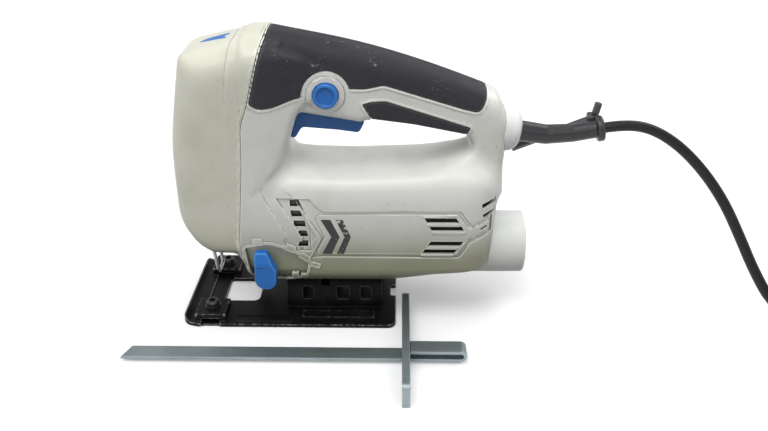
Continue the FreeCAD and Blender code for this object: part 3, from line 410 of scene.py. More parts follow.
class SurfaceNet:
    """Closed quad mesh round the negative part of a field, with its sharp edges kept."""

    SOFTNESS = 0.012                # pull of each vertex towards the middle of its crossings
    PROBE = 0.04                    # reach of the differences that give the normals, in millimetres
    FEEL = 0.9                      # reach of the probes that tell an edge from a hollow, in millimetres

    def __init__(self, field: Field, xs: Array, ys: Array, zs: Array) -> None:
        """Sample the field on a grid and solve for the vertices.

        Args:
            field: Signed distance as a function of x, y and z.
            xs: Grid planes along X.
            ys: Grid planes along Y.
            zs: Grid planes along Z.
        """
        self.field = field
        self.axes = (xs, ys, zs)
        shape = tuple(len(axis) for axis in self.axes)
        grid = field(xs[:, None, None], ys[None, :, None], zs[None, None, :])
        self.values = np.broadcast_to(grid, shape)
        self.cells = tuple(size - 1 for size in shape)
        self.points, self.quads = self._solve()

    def _crossings(self, axis: int) -> tuple[Array, Array, Array]:
        """Edges along one axis whose ends differ in sign.

        Args:
            axis: 0, 1 or 2.

        Returns:
            The lower ends' indices, the crossing points and whether the lower end is inside.
        """
        lower = [slice(None)] * 3
        upper = [slice(None)] * 3
        lower[axis], upper[axis] = slice(None, -1), slice(1, None)
        inside = self.values < 0
        index = np.array(np.nonzero(inside[tuple(lower)] != inside[tuple(upper)]))
        following = index.copy()
        following[axis] += 1
        first, second = self.values[tuple(index)], self.values[tuple(following)]
        points = np.array([self.axes[k][index[k]] for k in range(3)])
        start, end = points[axis].copy(), self.axes[axis][following[axis]]
        sign = np.sign(first)
        for _ in range(2):
            share = np.clip(first / (first - second), 0.02, 0.98)
            points[axis] = start + (end - start) * share
            value = self.field(*points)
            same = np.sign(value) == sign
            start, first = np.where(same, points[axis], start), np.where(same, value, first)
            end, second = np.where(same, end, points[axis]), np.where(same, second, value)
        points[axis] = start + (end - start) * first / (first - second)
        return index, points, sign < 0

    def _normals(self, points: Array) -> Array:
        """Direction in which the field grows, by differences at four corners round each point.

        Args:
            points: The points, one in each column.

        Returns:
            Unit vectors, one in each column.
        """
        total = np.zeros_like(points)
        for corner in ((1, -1, -1), (-1, -1, 1), (-1, 1, -1), (1, 1, 1)):
            offset = np.array(corner)[:, None]
            total += offset * self.field(*(points + offset * self.PROBE))
        return total / np.maximum(np.linalg.norm(total, axis=0), 1e-12)

    def _solve(self) -> tuple[Array, Array]:
        """Place one vertex per crossed cell and one quad per crossed edge.

        Returns:
            The vertices and the quads.
        """
        ids, normals, places, corners = [], [], [], []
        for axis in range(3):
            index, points, lower_inside = self._crossings(axis)
            side, up = (axis + 1) % 3, (axis + 2) % 3
            around = []
            for a, b in ((-1, -1), (0, -1), (0, 0), (-1, 0)):
                cell = index.copy()
                cell[side] += a
                cell[up] += b
                around.append((cell[0] * self.cells[1] + cell[1]) * self.cells[2] + cell[2])
            around = np.array(around)
            corners.append(np.where(lower_inside, around, around[::-1]))
            normal = self._normals(points)
            ids.append(around.ravel())
            normals.append(np.tile(normal, 4))
            places.append(np.tile(points, 4))
        ids, normals, places = np.concatenate(ids), np.hstack(normals), np.hstack(places)
        used, owner = np.unique(ids, return_inverse=True)
        count = np.bincount(owner)
        middle = np.array([np.bincount(owner, row) for row in places]) / count
        offset = np.sum(normals * (places - middle[:, owner]), axis=0)
        right = np.array([np.bincount(owner, row * offset) for row in normals]).T
        matrix = np.empty((len(used), 3, 3))
        for row in range(3):
            for column in range(3):
                matrix[:, row, column] = np.bincount(owner, normals[row] * normals[column])
        matrix += np.eye(3) * (self.SOFTNESS * count)[:, None, None]
        shift = np.linalg.solve(matrix, right[:, :, None])[:, :, 0].T
        cell = np.array(np.unravel_index(used, self.cells))
        low = np.array([self.axes[k][cell[k]] for k in range(3)])
        high = np.array([self.axes[k][cell[k] + 1] for k in range(3)])
        points = np.clip(middle + shift, low, high)
        quads = np.searchsorted(used, np.hstack(corners)).T
        return points.T, quads

    def _relief(self) -> Array:
        """How sharply the surface turns: near 1 on an outer edge, near -1 in a corner, 0 where it is flat.

        Returns:
            One value for each vertex.
        """
        total = np.zeros(len(self.points))
        for axis in range(3):
            for sign in (-1, 1):
                places = self.points.T.copy()
                places[axis] += sign * self.FEEL
                total += self.field(*places)
        return np.clip(total / (2.0 * self.FEEL), -1.0, 1.0)

    def mesh(self, name: str, depth: Field | None = None) -> bpy.types.Mesh:
        """Turn the net into a Blender mesh in metres, with its edges and hollows as attributes.

        Args:
            name: Name of the mesh.
            depth: Field that gives one more attribute, or nothing.

        Returns:
            The mesh.
        """
        mesh = bpy.data.meshes.new(name)
        mesh.vertices.add(len(self.points))
        mesh.vertices.foreach_set("co", (self.points * MM).ravel())
        mesh.loops.add(self.quads.size)
        mesh.loops.foreach_set("vertex_index", self.quads.ravel().astype(np.int32))
        mesh.polygons.add(len(self.quads))
        mesh.polygons.foreach_set("loop_start", np.arange(0, self.quads.size, 4, dtype=np.int32))
        mesh.update(calc_edges=True)
        relief = self._relief()
        layers = [("edge", relief), ("hollow", -relief)]
        if depth is not None:
            layers.append(("depth", depth(*self.points.T)))
        for key, values in layers:
            attribute = mesh.attributes.new(key, "FLOAT", "POINT")
            attribute.data.foreach_set("value", np.maximum(values, 0.0).astype(np.float32))
        return mesh


# ---- making and dressing pieces -------------------------------------------------------------------------
def finish_piece(mesh: bpy.types.Mesh, name: str, body: str, material: bpy.types.Material,
                 nodes: Sequence[str] = (), sharp: float = 38.0) -> bpy.types.Object:
    """Make an object of a mesh, shade it smooth up to an angle and tie it to the frame.

    Args:
        mesh: The mesh, already in place.
        name: Name of the piece.
        body: Body that it moves with.
        material: Its finish.
        nodes: CAD nodes that it stands for.
        sharp: Angle in degrees above which an edge stays sharp.

    Returns:
        The object.
    """
    mesh.name = name
    mesh.materials.append(material)
    mesh.shade_smooth()
    mesh.set_sharp_from_angle(angle=math.radians(sharp))
    piece = bpy.data.objects.new(name, mesh)
    bpy.context.collection.objects.link(piece)
    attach(piece, body)
    if nodes:
        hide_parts(*nodes)
    LOG.info("%s: %d faces", name, len(mesh.polygons))
    return piece


def box_grid(low: Point3, high: Point3, step: float) -> list[Array]:
    """Grid planes round a box, one step beyond it on every side."""
    return [planes(a - step, b + step, step) for a, b in zip(low, high)]


def net_piece(field: Field, grid: Sequence[Array], name: str, body: str,
              material: bpy.types.Material, node: str) -> bpy.types.Object:
    """Make a finished piece of a field.

    Args:
        field: Signed distance.
        grid: Grid planes along X, Y and Z.
        name: Name of the piece.
        body: Body that it moves with.
        material: Its finish.
        node: CAD node that it stands for.

    Returns:
        The object.
    """
    return finish_piece(SurfaceNet(field, *grid).mesh(name), name, body, material, [node])


def dress_nodes(material: bpy.types.Material, *nodes: str) -> None:
    """Give kept CAD nodes a finish.

    Args:
        material: The finish.
        *nodes: Names of the nodes.
    """
    for node in nodes:
        piece = bpy.data.objects[node]
        for index in range(len(piece.material_slots)):
            piece.material_slots[index].material = material
        if not piece.material_slots:
            piece.data.materials.append(material)


class Layout(Nodes):
    """Geometry Nodes tree that lays out what repeats or follows a path, and its baking to a plain mesh."""

    def __init__(self, name: str, inputs: Mapping[str, float | int | tuple]) -> None:
        """Make the tree with its geometry, its named inputs and a material.

        Args:
            name: Name of the tree.
            inputs: Named inputs with their values; whole numbers become counts, triples become vectors.
        """
        super().__init__(bpy.data.node_groups.new(name, "GeometryNodeTree"))
        self.values = dict(inputs)
        face = self.tree.interface
        face.new_socket("Geometry", in_out="OUTPUT", socket_type="NodeSocketGeometry")
        face.new_socket("Geometry", in_out="INPUT", socket_type="NodeSocketGeometry")
        for key, value in self.values.items():
            kind = {int: "Int", float: "Float", tuple: "Vector"}[type(value)]
            face.new_socket(key, in_out="INPUT", socket_type=f"NodeSocket{kind}")
        face.new_socket("Material", in_out="INPUT", socket_type="NodeSocketMaterial")
        self.entry = self.tree.nodes.new("NodeGroupInput")

    def given(self, name: str) -> Link:
        """One of the named inputs."""
        return Link(self, self.entry.outputs[name])

    def bake(self, name: str, points: Sequence[Point3], material: bpy.types.Material,
             joined: bool = False) -> bpy.types.Mesh:
        """Run the tree on points and keep the result as a plain mesh.

        Args:
            name: Name of the mesh.
            points: Input points in millimetres.
            material: Material handed to the tree.
            joined: Whether the points are joined in order, as a path.

        Returns:
            The baked mesh.
        """
        mesh = bpy.data.meshes.new(name)
        edges = [(k, k + 1) for k in range(len(points) - 1)] if joined else []
        mesh.from_pydata([tuple(value * MM for value in point) for point in points], edges, [])
        carrier = bpy.data.objects.new(name + "_layout", mesh)
        bpy.context.collection.objects.link(carrier)
        modifier = carrier.modifiers.new("layout", "NODES")
        modifier.node_group = self.tree
        for item in self.tree.interface.items_tree:
            if item.in_out == "INPUT" and item.name in self.values:
                modifier[item.identifier] = self.values[item.name]
            elif item.name == "Material":
                modifier[item.identifier] = material
        graph = bpy.context.evaluated_depsgraph_get()
        baked = bpy.data.meshes.new_from_object(carrier.evaluated_get(graph))
        carrier.modifiers.remove(modifier)
        bpy.data.objects.remove(carrier)
        baked.materials.clear()
        return baked

    def finish(self, geometry: Link) -> None:
        """End the tree: realize the instances and set the material.

        Args:
            geometry: What the tree has laid out.
        """
        real = self.add("GeometryNodeRealizeInstances", {}, {0: geometry})
        sockets = {"Geometry": real, "Material": self.given("Material")}
        shown = self.add("GeometryNodeSetMaterial", {}, sockets)
        output = self.tree.nodes.new("NodeGroupOutput")
        self.tree.links.new(shown.socket, output.inputs[0])


def bent_bar(name: str, path: Sequence[Point3], radius: float, bend: float, sides: int,
             material: bpy.types.Material) -> bpy.types.Mesh:
    """Bar of even section along straight runs with rounded bends.

    Args:
        name: Name of the mesh.
        path: Corners of the path in millimetres.
        radius: Distance from the middle of the section to its corners.
        bend: Radius of the bends.
        sides: Sides of the section.
        material: Its finish.

    Returns:
        The baked mesh.
    """
    layout = Layout(name, {"Radius": radius * MM, "Bend": bend * MM, "Sides": sides, "Steps": 10})
    line = layout.add("GeometryNodeMeshToCurve", {}, {0: layout.given("Geometry")})
    line = layout.add("GeometryNodeFilletCurve", {"mode": "POLY"},
                      {"Curve": line, "Count": layout.given("Steps"), "Radius": layout.given("Bend")})
    section = layout.add("GeometryNodeCurvePrimitiveCircle", {"mode": "RADIUS"},
                         {"Resolution": layout.given("Sides"), "Radius": layout.given("Radius")})
    bar = layout.add("GeometryNodeCurveToMesh", {},
                     {"Curve": line, "Profile Curve": section, "Fill Caps": True})
    layout.finish(bar)
    return layout.bake(name, path, material, True)


# ---- finishes -------------------------------------------------------------------------------------------
DIRT, DUST, SPECK = (98, 96, 78), (112, 108, 98), (96, 94, 84)
# the second colour here is painted shade, given to the inside of the blind vents
PRINT, PAINTED_SLOT_SHADE = (26, 30, 29), (14, 15, 14)
RUBBED, BARE_STEEL = (118, 117, 120), (128, 127, 122)


class Metal(Enum):
    """Bare and plated metals: colour, roughness and how strongly the surface is streaked."""

    STEEL = ((172, 172, 174), 0.26, 0.10)
    DARK_STEEL = ((84, 84, 88), 0.38, 0.12)
    ZINC = ((142, 153, 156), 0.36, 0.22)
    ALLOY = ((178, 180, 182), 0.48, 0.06)
    BRASS = ((196, 164, 92), 0.32, 0.08)
    COPPER = ((178, 104, 66), 0.36, 0.10)


@dataclass(frozen=True)
class MouldedPlastic:
    """Fine-grained thermoplastic that has gone a little dirty in its corners, with shade painted in towards
    the bottom.
    """

    name: str
    colour: tuple[int, int, int]
    # the stain colour is also the colour of the painted shade towards the bottom
    stain_and_shade: tuple[int, int, int] = (150, 146, 118)
    worn: tuple[int, int, int] = (236, 236, 228)
    rough: float = 0.36
    # share of painted shade, which darkens the plastic towards the bottom where less light falls
    painted_low_shade: float = 0.7
    chevrons: bool = False

    # front and rear edge of each chevron, how far each leans forward per millimetre of rise, and the wear
    CHEVRONS = ((28.9, 34.0, 0.50, 0.43, 0.24), (36.9, 40.8, 0.42, 0.38, 0.34))
    CHEVRON_LEVEL = 62.6

    def build(self) -> bpy.types.Material:
        """Make the material: stains, painted shade towards the bottom, corner dirt, lighter edges, specks,
        and worn print and painted shade inside the vents where asked for.

        Returns:
            The finished material.
        """
        shader = Shader(self.name)
        cloud = shader.noise(34.0, 3.0, 0.6)
        hollow, edge = shader.attribute("hollow"), shader.attribute("edge")
        ragged = shader.noise(2.4, 3.0, 0.6)
        colour = shader.mix(cloud.step(0.42, 0.78) * 0.22, srgb(*self.colour), srgb(*self.stain_and_shade))
        _, _, z = shader.side_view()
        # painted shade: the colour darkens towards the bottom, where less light falls
        low = (z + cloud * 16.0 - 8.0).step(78.0, 40.0)
        colour = shader.mix(low * self.painted_low_shade, colour, srgb(*self.stain_and_shade))
        dirt = (hollow + ragged * 0.25 - 0.12).step(0.14, 0.55)
        colour = shader.mix(dirt * 0.5, colour, srgb(*DIRT))
        colour = shader.mix(edge.step(0.16, 0.5) * 0.55, colour, srgb(*self.worn))
        specks = shader.noise(1.3, 1.0, 0.4).step(0.715, 0.76) * shader.noise(22.0).step(0.48, 0.62)
        colour = shader.mix(specks * 0.45, colour, srgb(*SPECK))
        if self.chevrons:
            colour = shader.mix(self._print(shader, ragged), colour, srgb(*PRINT))
            # painted shade inside the vents
            colour = shader.mix(self._painted_slot_shade(shader), colour, srgb(*PAINTED_SLOT_SHADE))
        grain = shader.noise(0.45, 2.0, 0.6)
        rough = shader.noise(9.0, 2.0) * 0.14 + (self.rough - 0.07)
        return shader.surface(Base_Color=colour, Roughness=rough, Normal=shader.bump(grain, 0.018))

    @staticmethod
    def _painted_slot_shade(shader: Shader) -> Link:
        """Share of the painted shade inside the vents, which lies deeper than every panel and pocket.

        Args:
            shader: The material's tree.

        Returns:
            That share, from 0 to 1.
        """
        x, y, z = shader.side_view()
        deep = shader.attribute("depth").step(0.17, 0.22) * abs(y).step(19.0, 20.0)
        return deep * z.step(50.0, 50.5) * (x + z).step(60.5, 61.5)

    @staticmethod
    def _print(shader: Shader, ragged: Link) -> Link:
        """Two worn dark chevrons on the side panels.

        Args:
            shader: The material's tree.
            ragged: Noise that eats into the print.

        Returns:
            Share of the print, from 0 to 1.
        """
        x, y, z = shader.side_view()
        rise = abs(z - MouldedPlastic.CHEVRON_LEVEL)
        share = 0.0
        for left, right, fall_left, fall_right, wear in MouldedPlastic.CHEVRONS:
            after = (x - (left - rise * fall_left)).step(-0.15, 0.15)
            before = ((right - rise * fall_right) - x).step(-0.15, 0.15)
            share = after * before * ragged.step(wear, wear + 0.12) + share
        return share * rise.step(12.2, 11.8) * abs(y).step(29.0, 29.5)


@dataclass(frozen=True)
class GlossyPlastic:
    """Through-coloured plastic of the controls, polished by fingers."""

    name: str
    colour: tuple[int, int, int]
    # colour of the painted shade in corners and hollows
    deep: tuple[int, int, int]
    rough: float = 0.32

    def build(self) -> bpy.types.Material:
        """Make the material: painted shade in the corners, paler edges and fine rubbed scratches.

        Returns:
            The finished material.
        """
        shader = Shader(self.name)
        hollow, edge = shader.attribute("hollow"), shader.attribute("edge")
        rub = shader.noise(0.7, 3.0, 0.7, shader.place((0.15, 1.0, 1.0), (0.0, 35.0, 0.0)))
        # painted shade: darker in corners and in the button's dish
        dark = (hollow + shader.noise(3.0) * 0.2).step(0.15, 0.55) * 0.7
        colour = shader.mix(dark, srgb(*self.colour), srgb(*self.deep))
        pale = tuple(min(255, value + 46) for value in self.colour)
        colour = shader.mix(edge.step(0.15, 0.5) * 0.45, colour, srgb(*pale))
        colour = shader.mix(rub.step(0.63, 0.74) * 0.18, colour, srgb(*pale))
        rough = rub.step(0.4, 0.75) * 0.16 + self.rough
        return shader.surface(Base_Color=colour, Roughness=rough,
                              Normal=shader.bump(shader.noise(0.6), 0.006))


@dataclass(frozen=True)
class SoftRubber:
    """Matt elastomer with fine grain and pale scuffs."""

    name: str
    colour: tuple[int, int, int] = (35, 35, 41)
    pale: tuple[int, int, int] = (150, 149, 152)
    rough: float = 0.56
    scuffs: float = 0.55
    scuff_height: float = 128.0
    gloss: float = 0.34

    def build(self) -> bpy.types.Material:
        """Make the material: uneven bloom, scuffs in clusters and a grained surface.

        Returns:
            The finished material.
        """
        shader = Shader(self.name)
        _, _, z = shader.side_view()
        bloom = shader.noise(26.0, 4.0, 0.62)
        bloomed = tuple(value + 22 for value in self.colour)
        colour = shader.mix(bloom.step(0.35, 0.75) * 0.25, srgb(*self.colour), srgb(*bloomed))
        cluster = shader.noise(17.0, 1.0).step(0.52, 0.64)
        cluster = cluster * z.step(self.scuff_height, self.scuff_height + 22.0)
        strokes = shader.noise(1.0, 3.0, 0.75, shader.place((0.3, 1.0, 1.0), (0.0, 28.0, 0.0)))
        nicks = shader.noise(2.2, 2.0, 0.5).step(0.68, 0.73)
        marks = cluster * strokes.step(0.60, 0.68) + nicks * cluster * 0.8
        colour = shader.mix(marks * self.scuffs, colour, srgb(*self.pale))
        colour = shader.mix(shader.attribute("edge").step(0.2, 0.55) * 0.25, colour, srgb(*RUBBED))
        grain = shader.noise(0.55, 3.0, 0.65) + shader.cells(1.1) * 0.5
        rough = shader.noise(6.0, 3.0) * 0.2 + (self.rough - 0.1)
        return shader.surface(Base_Color=colour, Roughness=rough, Specular_IOR_Level=self.gloss,
                              Normal=shader.bump(grain, 0.05))


@dataclass(frozen=True)
class PaintedSteel:
    """Black stove paint on pressed steel, rubbed through along the edges."""

    name: str
    colour: tuple[int, int, int] = (13, 14, 15)
    rough: float = 0.34
    wear: float = 0.8

    def build(self) -> bpy.types.Material:
        """Make the material: paint with dust in its corners and bare metal where it is worn.

        Returns:
            The finished material.
        """
        shader = Shader(self.name)
        edge, hollow = shader.attribute("edge"), shader.attribute("hollow")
        chipped = shader.noise(2.6, 4.0, 0.7)
        along = shader.place((0.04, 1.0, 1.0), (0.0, 0.0, 12.0))
        scratch = shader.noise(0.5, 2.0, 0.6, along).step(0.70, 0.75)
        dust = shader.noise(16.0, 4.0, 0.7).step(0.5, 0.85) * 0.10 + hollow.step(0.2, 0.6) * 0.06
        colour = shader.mix(dust, srgb(*self.colour), srgb(*DUST))
        bare = (edge * 0.9 + chipped * 1.2 - 0.94).step(0.05, 0.35) * self.wear
        bare = bare + scratch * shader.noise(12.0).step(0.5, 0.6) * 0.35
        colour = shader.mix(bare, colour, srgb(*BARE_STEEL))
        rough = chipped * 0.22 + (self.rough - 0.06)
        peel = shader.noise(1.4, 2.0, 0.5)
        return shader.surface(Base_Color=colour, Roughness=rough, Metallic=bare * 0.9,
                              Specular_IOR_Level=0.14, Normal=shader.bump(peel + bare * -0.6, 0.05))


@dataclass(frozen=True)
class BareMetal:
    """Metal without paint, drawn or rolled along X, with stains and rubbed edges."""

    name: str
    kind: Metal
    grain_turn: Point3 = (0.0, 0.0, 0.0)

    def build(self) -> bpy.types.Material:
        """Make the material: rolling streaks, cloudy stains, small pits and brighter edges.

        Returns:
            The finished material.
        """
        shader = Shader(self.name)
        colour, rough, streak = self.kind.value
        lines = shader.noise(0.8, 3.0, 0.6, shader.place((0.02, 1.0, 1.0), self.grain_turn))
        cloud = shader.noise(24.0, 3.0, 0.6)
        pits = shader.noise(1.1, 2.0, 0.6).step(0.70, 0.76)
        dark = tuple(int(value * 0.62) for value in colour)
        pale = tuple(min(255, int(value * 1.22)) for value in colour)
        shade = shader.mix(cloud.step(0.35, 0.72) * 0.45, srgb(*colour), srgb(*dark))
        shade = shader.mix(lines * streak * 2.0, shade, srgb(*pale))
        shade = shader.mix(shader.attribute("edge").step(0.35, 0.75) * 0.5, shade, srgb(*pale))
        shade = shader.mix(pits * 0.35, shade, srgb(*dark))
        glint = cloud * 0.18 + lines * streak + (rough - 0.1)
        return shader.surface(Base_Color=shade, Roughness=glint, Metallic=1.0,
                              Normal=shader.bump(lines + pits * -0.5, 0.01))


@dataclass(frozen=True)
class Finishes:
    """Every finish of the saw, built once."""

    # each moulded plastic's second colour is both its stain and its painted shade towards the bottom
    halves: MouldedPlastic = MouldedPlastic("body_grey", (222, 223, 217), (136, 137, 112),
                                            painted_low_shade=0.95, chevrons=True)
    cover: MouldedPlastic = MouldedPlastic("cover_grey", (213, 213, 198), (150, 149, 122), (236, 236, 224))
    fittings: MouldedPlastic = MouldedPlastic("fitting_grey", (236, 238, 237), (150, 151, 132), painted_low_shade=0.3)
    blue: GlossyPlastic = GlossyPlastic("button_blue", (14, 100, 184), (8, 52, 124))
    lever_blue: GlossyPlastic = GlossyPlastic("lever_blue", (20, 104, 186), (8, 50, 110))
    trigger_blue: GlossyPlastic = GlossyPlastic("trigger_blue", (12, 74, 136), (5, 28, 66), 0.4)
    black_plastic: GlossyPlastic = GlossyPlastic("moulded_black", (22, 22, 25), (8, 8, 10), 0.42)
    grip: SoftRubber = SoftRubber("grip_charcoal")
    lead: SoftRubber = SoftRubber("lead_black", (18, 18, 21), (84, 84, 88), 0.36, 0.25, -50.0, 0.3)
    sleeve: SoftRubber = SoftRubber("sleeve_black", (30, 30, 34), (104, 104, 106), 0.32, 0.3, -50.0, 0.5)
    paint: PaintedSteel = PaintedSteel("sole_black")
    saddle: PaintedSteel = PaintedSteel("saddle_black", (7, 7, 7), 0.5, 0.2)
    steel: BareMetal = BareMetal("bright_steel", Metal.STEEL)
    dark_steel: BareMetal = BareMetal("dark_steel", Metal.DARK_STEEL)
    zinc: BareMetal = BareMetal("plated_zinc", Metal.ZINC)
    alloy: BareMetal = BareMetal("cast_alloy", Metal.ALLOY)
    brass: BareMetal = BareMetal("turned_brass", Metal.BRASS)
    copper: BareMetal = BareMetal("wound_copper", Metal.COPPER)

    def build(self) -> dict[str, bpy.types.Material]:
        """Make all materials, by the name of their field.

        Returns:
            The materials.
        """
        made = {item.name: getattr(self, item.name).build() for item in fields(self)}
        LOG.info("%d finishes", len(made))
        return made


Looks = dict[str, bpy.types.Material]


# ---- the moulded body -----------------------------------------------------------------------------------
@dataclass(frozen=True)
class Rail:
    """Long bar with a round-edged, sloping back."""

    half: float
    radius: float
    x: float
    top: float
    slope: float

    def field(self, x: Array, y: Array, z: Array) -> Array:
        """Distance to the bar, which has no underside.

        Args:
            x, y, z: Where to measure, in millimetres.

        Returns:
            Signed distances, negative inside.
        """
        level = (z - self.top - self.slope * (x - self.x)) / math.hypot(1.0, self.slope) + self.radius
        beside = np.abs(y) - self.half + self.radius
        outside = np.hypot(np.maximum(level, 0.0), np.maximum(beside, 0.0))
        return outside + np.minimum(np.maximum(level, beside), 0.0) - self.radius


class BodyForm:
    """Outer surface of the whole body: head, motor barrel, D-handle and the flare that joins them."""

    HEAD_SIDE = ((-24, 45, 0), (-44, 45.8, 16), (-68.3, 69, 20), (-64.9, 122, 120), (-53.7, 174.6, 9),
                 (-36, 178.4, 30), (-13, 182.8, 40), (6.3, 179.2, 0), (6.3, 45, 0))
    HEAD_PLAN = ((-69.4, -33, 27), (-10, -33, 22), (4.3, -17.2, 6), (4.3, 17.2, 6), (-10, 33, 22),
                 (-69.4, 33, 27))
    HEAD_SECTION = ((-33, 44.6, 15), (33, 44.6, 15), (33, 175.6, 18.5), (0, 184.5, 60), (-33, 175.6, 18.5))
    NOSE_PLAN = ((-66.3, -33, 27), (60, -33, 0), (60, 33, 0), (-66.3, 33, 27))
    NOSE_Z, NOSE_LEAN = 122.0, 0.21
    BARREL_SIDE = ((-29, 45, 6), (-19, 23, 14), (62, 23, 60), (92, 32.5, 30), (127, 37, 8), (132.8, 104, 24),
                   (100, 105.6, 20), (80, 102.2, 60), (40, 100.1, 80), (-29, 103, 0))
    BARREL_PLAN = ((-29, -33, 0), (133.4, -33, 29), (133.4, 33, 29), (-29, 33, 0))
    BARREL_SECTION = ((-20, 23, 4), (20, 23, 4), (33, 36, 9), (33, 114.5, 36), (-33, 114.5, 36), (-33, 36, 9))
    HANDLE_SIDE = ((-8, 205, 0), (110, 205, 0), (124.5, 148.8, 17), (136.5, 128, 14), (132.6, 84, 0),
                   (96, 84, 0), (97, 101.5, 10), (114, 113.5, 5), (109.6, 120.8, 3), (78, 127.2, 60),
                   (54, 130.4, 6), (47, 128.6, 2), (5.8, 135.6, 1.5), (1.8, 135, 1.5), (3.0, 106, 12),
                   (18.8, 100, 0), (20, 84, 0), (-8, 84, 0))
    HANDLE_PLAN = ((-8, -17.5, 0), (138, -17.5, 13), (138, 17.5, 13), (-8, 17.5, 0))
    BACK = (Rail(17.5, 14, 13, 180.2, -0.165), Rail(17.5, 14, 50, 172.9, -0.25),
            Rail(17.5, 14, 95, 157.4, -0.39))
    FLARE_PLAN = ((-18, -32.0, 0), (-4, -29.0, 14), (20, -16.8, 30), (34, -14.5, 0), (34, 14.5, 0),
                  (20, 16.8, 30), (-4, 29.0, 14), (-18, 32.0, 0))
    FLARE_SIDE = ((-18, 180.0, 0), (-6, 179.0, 12), (34, 160.0, 0), (32, 148, 0), (12.2, 141, 20),
                  (0.2, 104, 20), (-18, 90, 0))
    CROWN = Rail(33, 20, -20, 181.5, -0.153)
    BROW = Rail(33, 20, -33, 176.0, 0.25)
    HALF_WIDTH, FILLET = 33.0, 9.0

    def __init__(self) -> None:
        """Measure every outline once."""
        self.head = [Outline(corners) for corners in (self.HEAD_SIDE, self.HEAD_PLAN, self.HEAD_SECTION)]
        self.nose = Outline(self.NOSE_PLAN)
        self.barrel = [Outline(corners)
                       for corners in (self.BARREL_SIDE, self.BARREL_PLAN, self.BARREL_SECTION)]
        self.handle = [Outline(corners) for corners in (self.HANDLE_SIDE, self.HANDLE_PLAN)]
        self.flare = [Outline(corners) for corners in (self.FLARE_SIDE, self.FLARE_PLAN)]

    def __call__(self, x: Array, y: Array, z: Array) -> Array:
        """Signed distance to the outside of the body.

        Args:
            x, y, z: Where to measure, in millimetres.

        Returns:
            Signed distances, negative inside.
        """
        head = round_max(round_max(self.head[0](x, z), self.head[1](x, y), 7), self.head[2](y, z), 6)
        nose = self.nose(x - self.NOSE_LEAN * (z - self.NOSE_Z), y)
        head = round_max(round_max(head, nose, 3), self.BROW.field(x, y, z), 4)
        barrel = round_max(self.barrel[0](x, z), self.barrel[1](x, y), 5)
        barrel = round_max(barrel, self.barrel[2](y, z), 8)
        back = round_max(self.BACK[0].field(x, y, z), self.BACK[1].field(x, y, z), 6)
        back = round_max(back, self.BACK[2].field(x, y, z), 6)
        handle = round_max(round_max(self.handle[0](x, z), self.handle[1](x, y), 12), back, 2)
        flare = round_max(self.flare[0](x, z), self.flare[1](x, y), 5)
        flare = round_max(flare, self.CROWN.field(x, y, z), 4)
        fillet = self.FILLET * np.clip((self.HALF_WIDTH - np.abs(y)) / self.FILLET, 0.0, 1.0)
        return round_min(round_min(round_min(head, flare, 2), handle, 3), barrel, fillet)


def sunk(surface: Array, zone: Array, depth: float, rounding: float = 0.0) -> Array:
    """Surface with the part inside a zone moved inwards."""
    return round_max(surface, np.minimum(-zone, surface + depth), rounding)


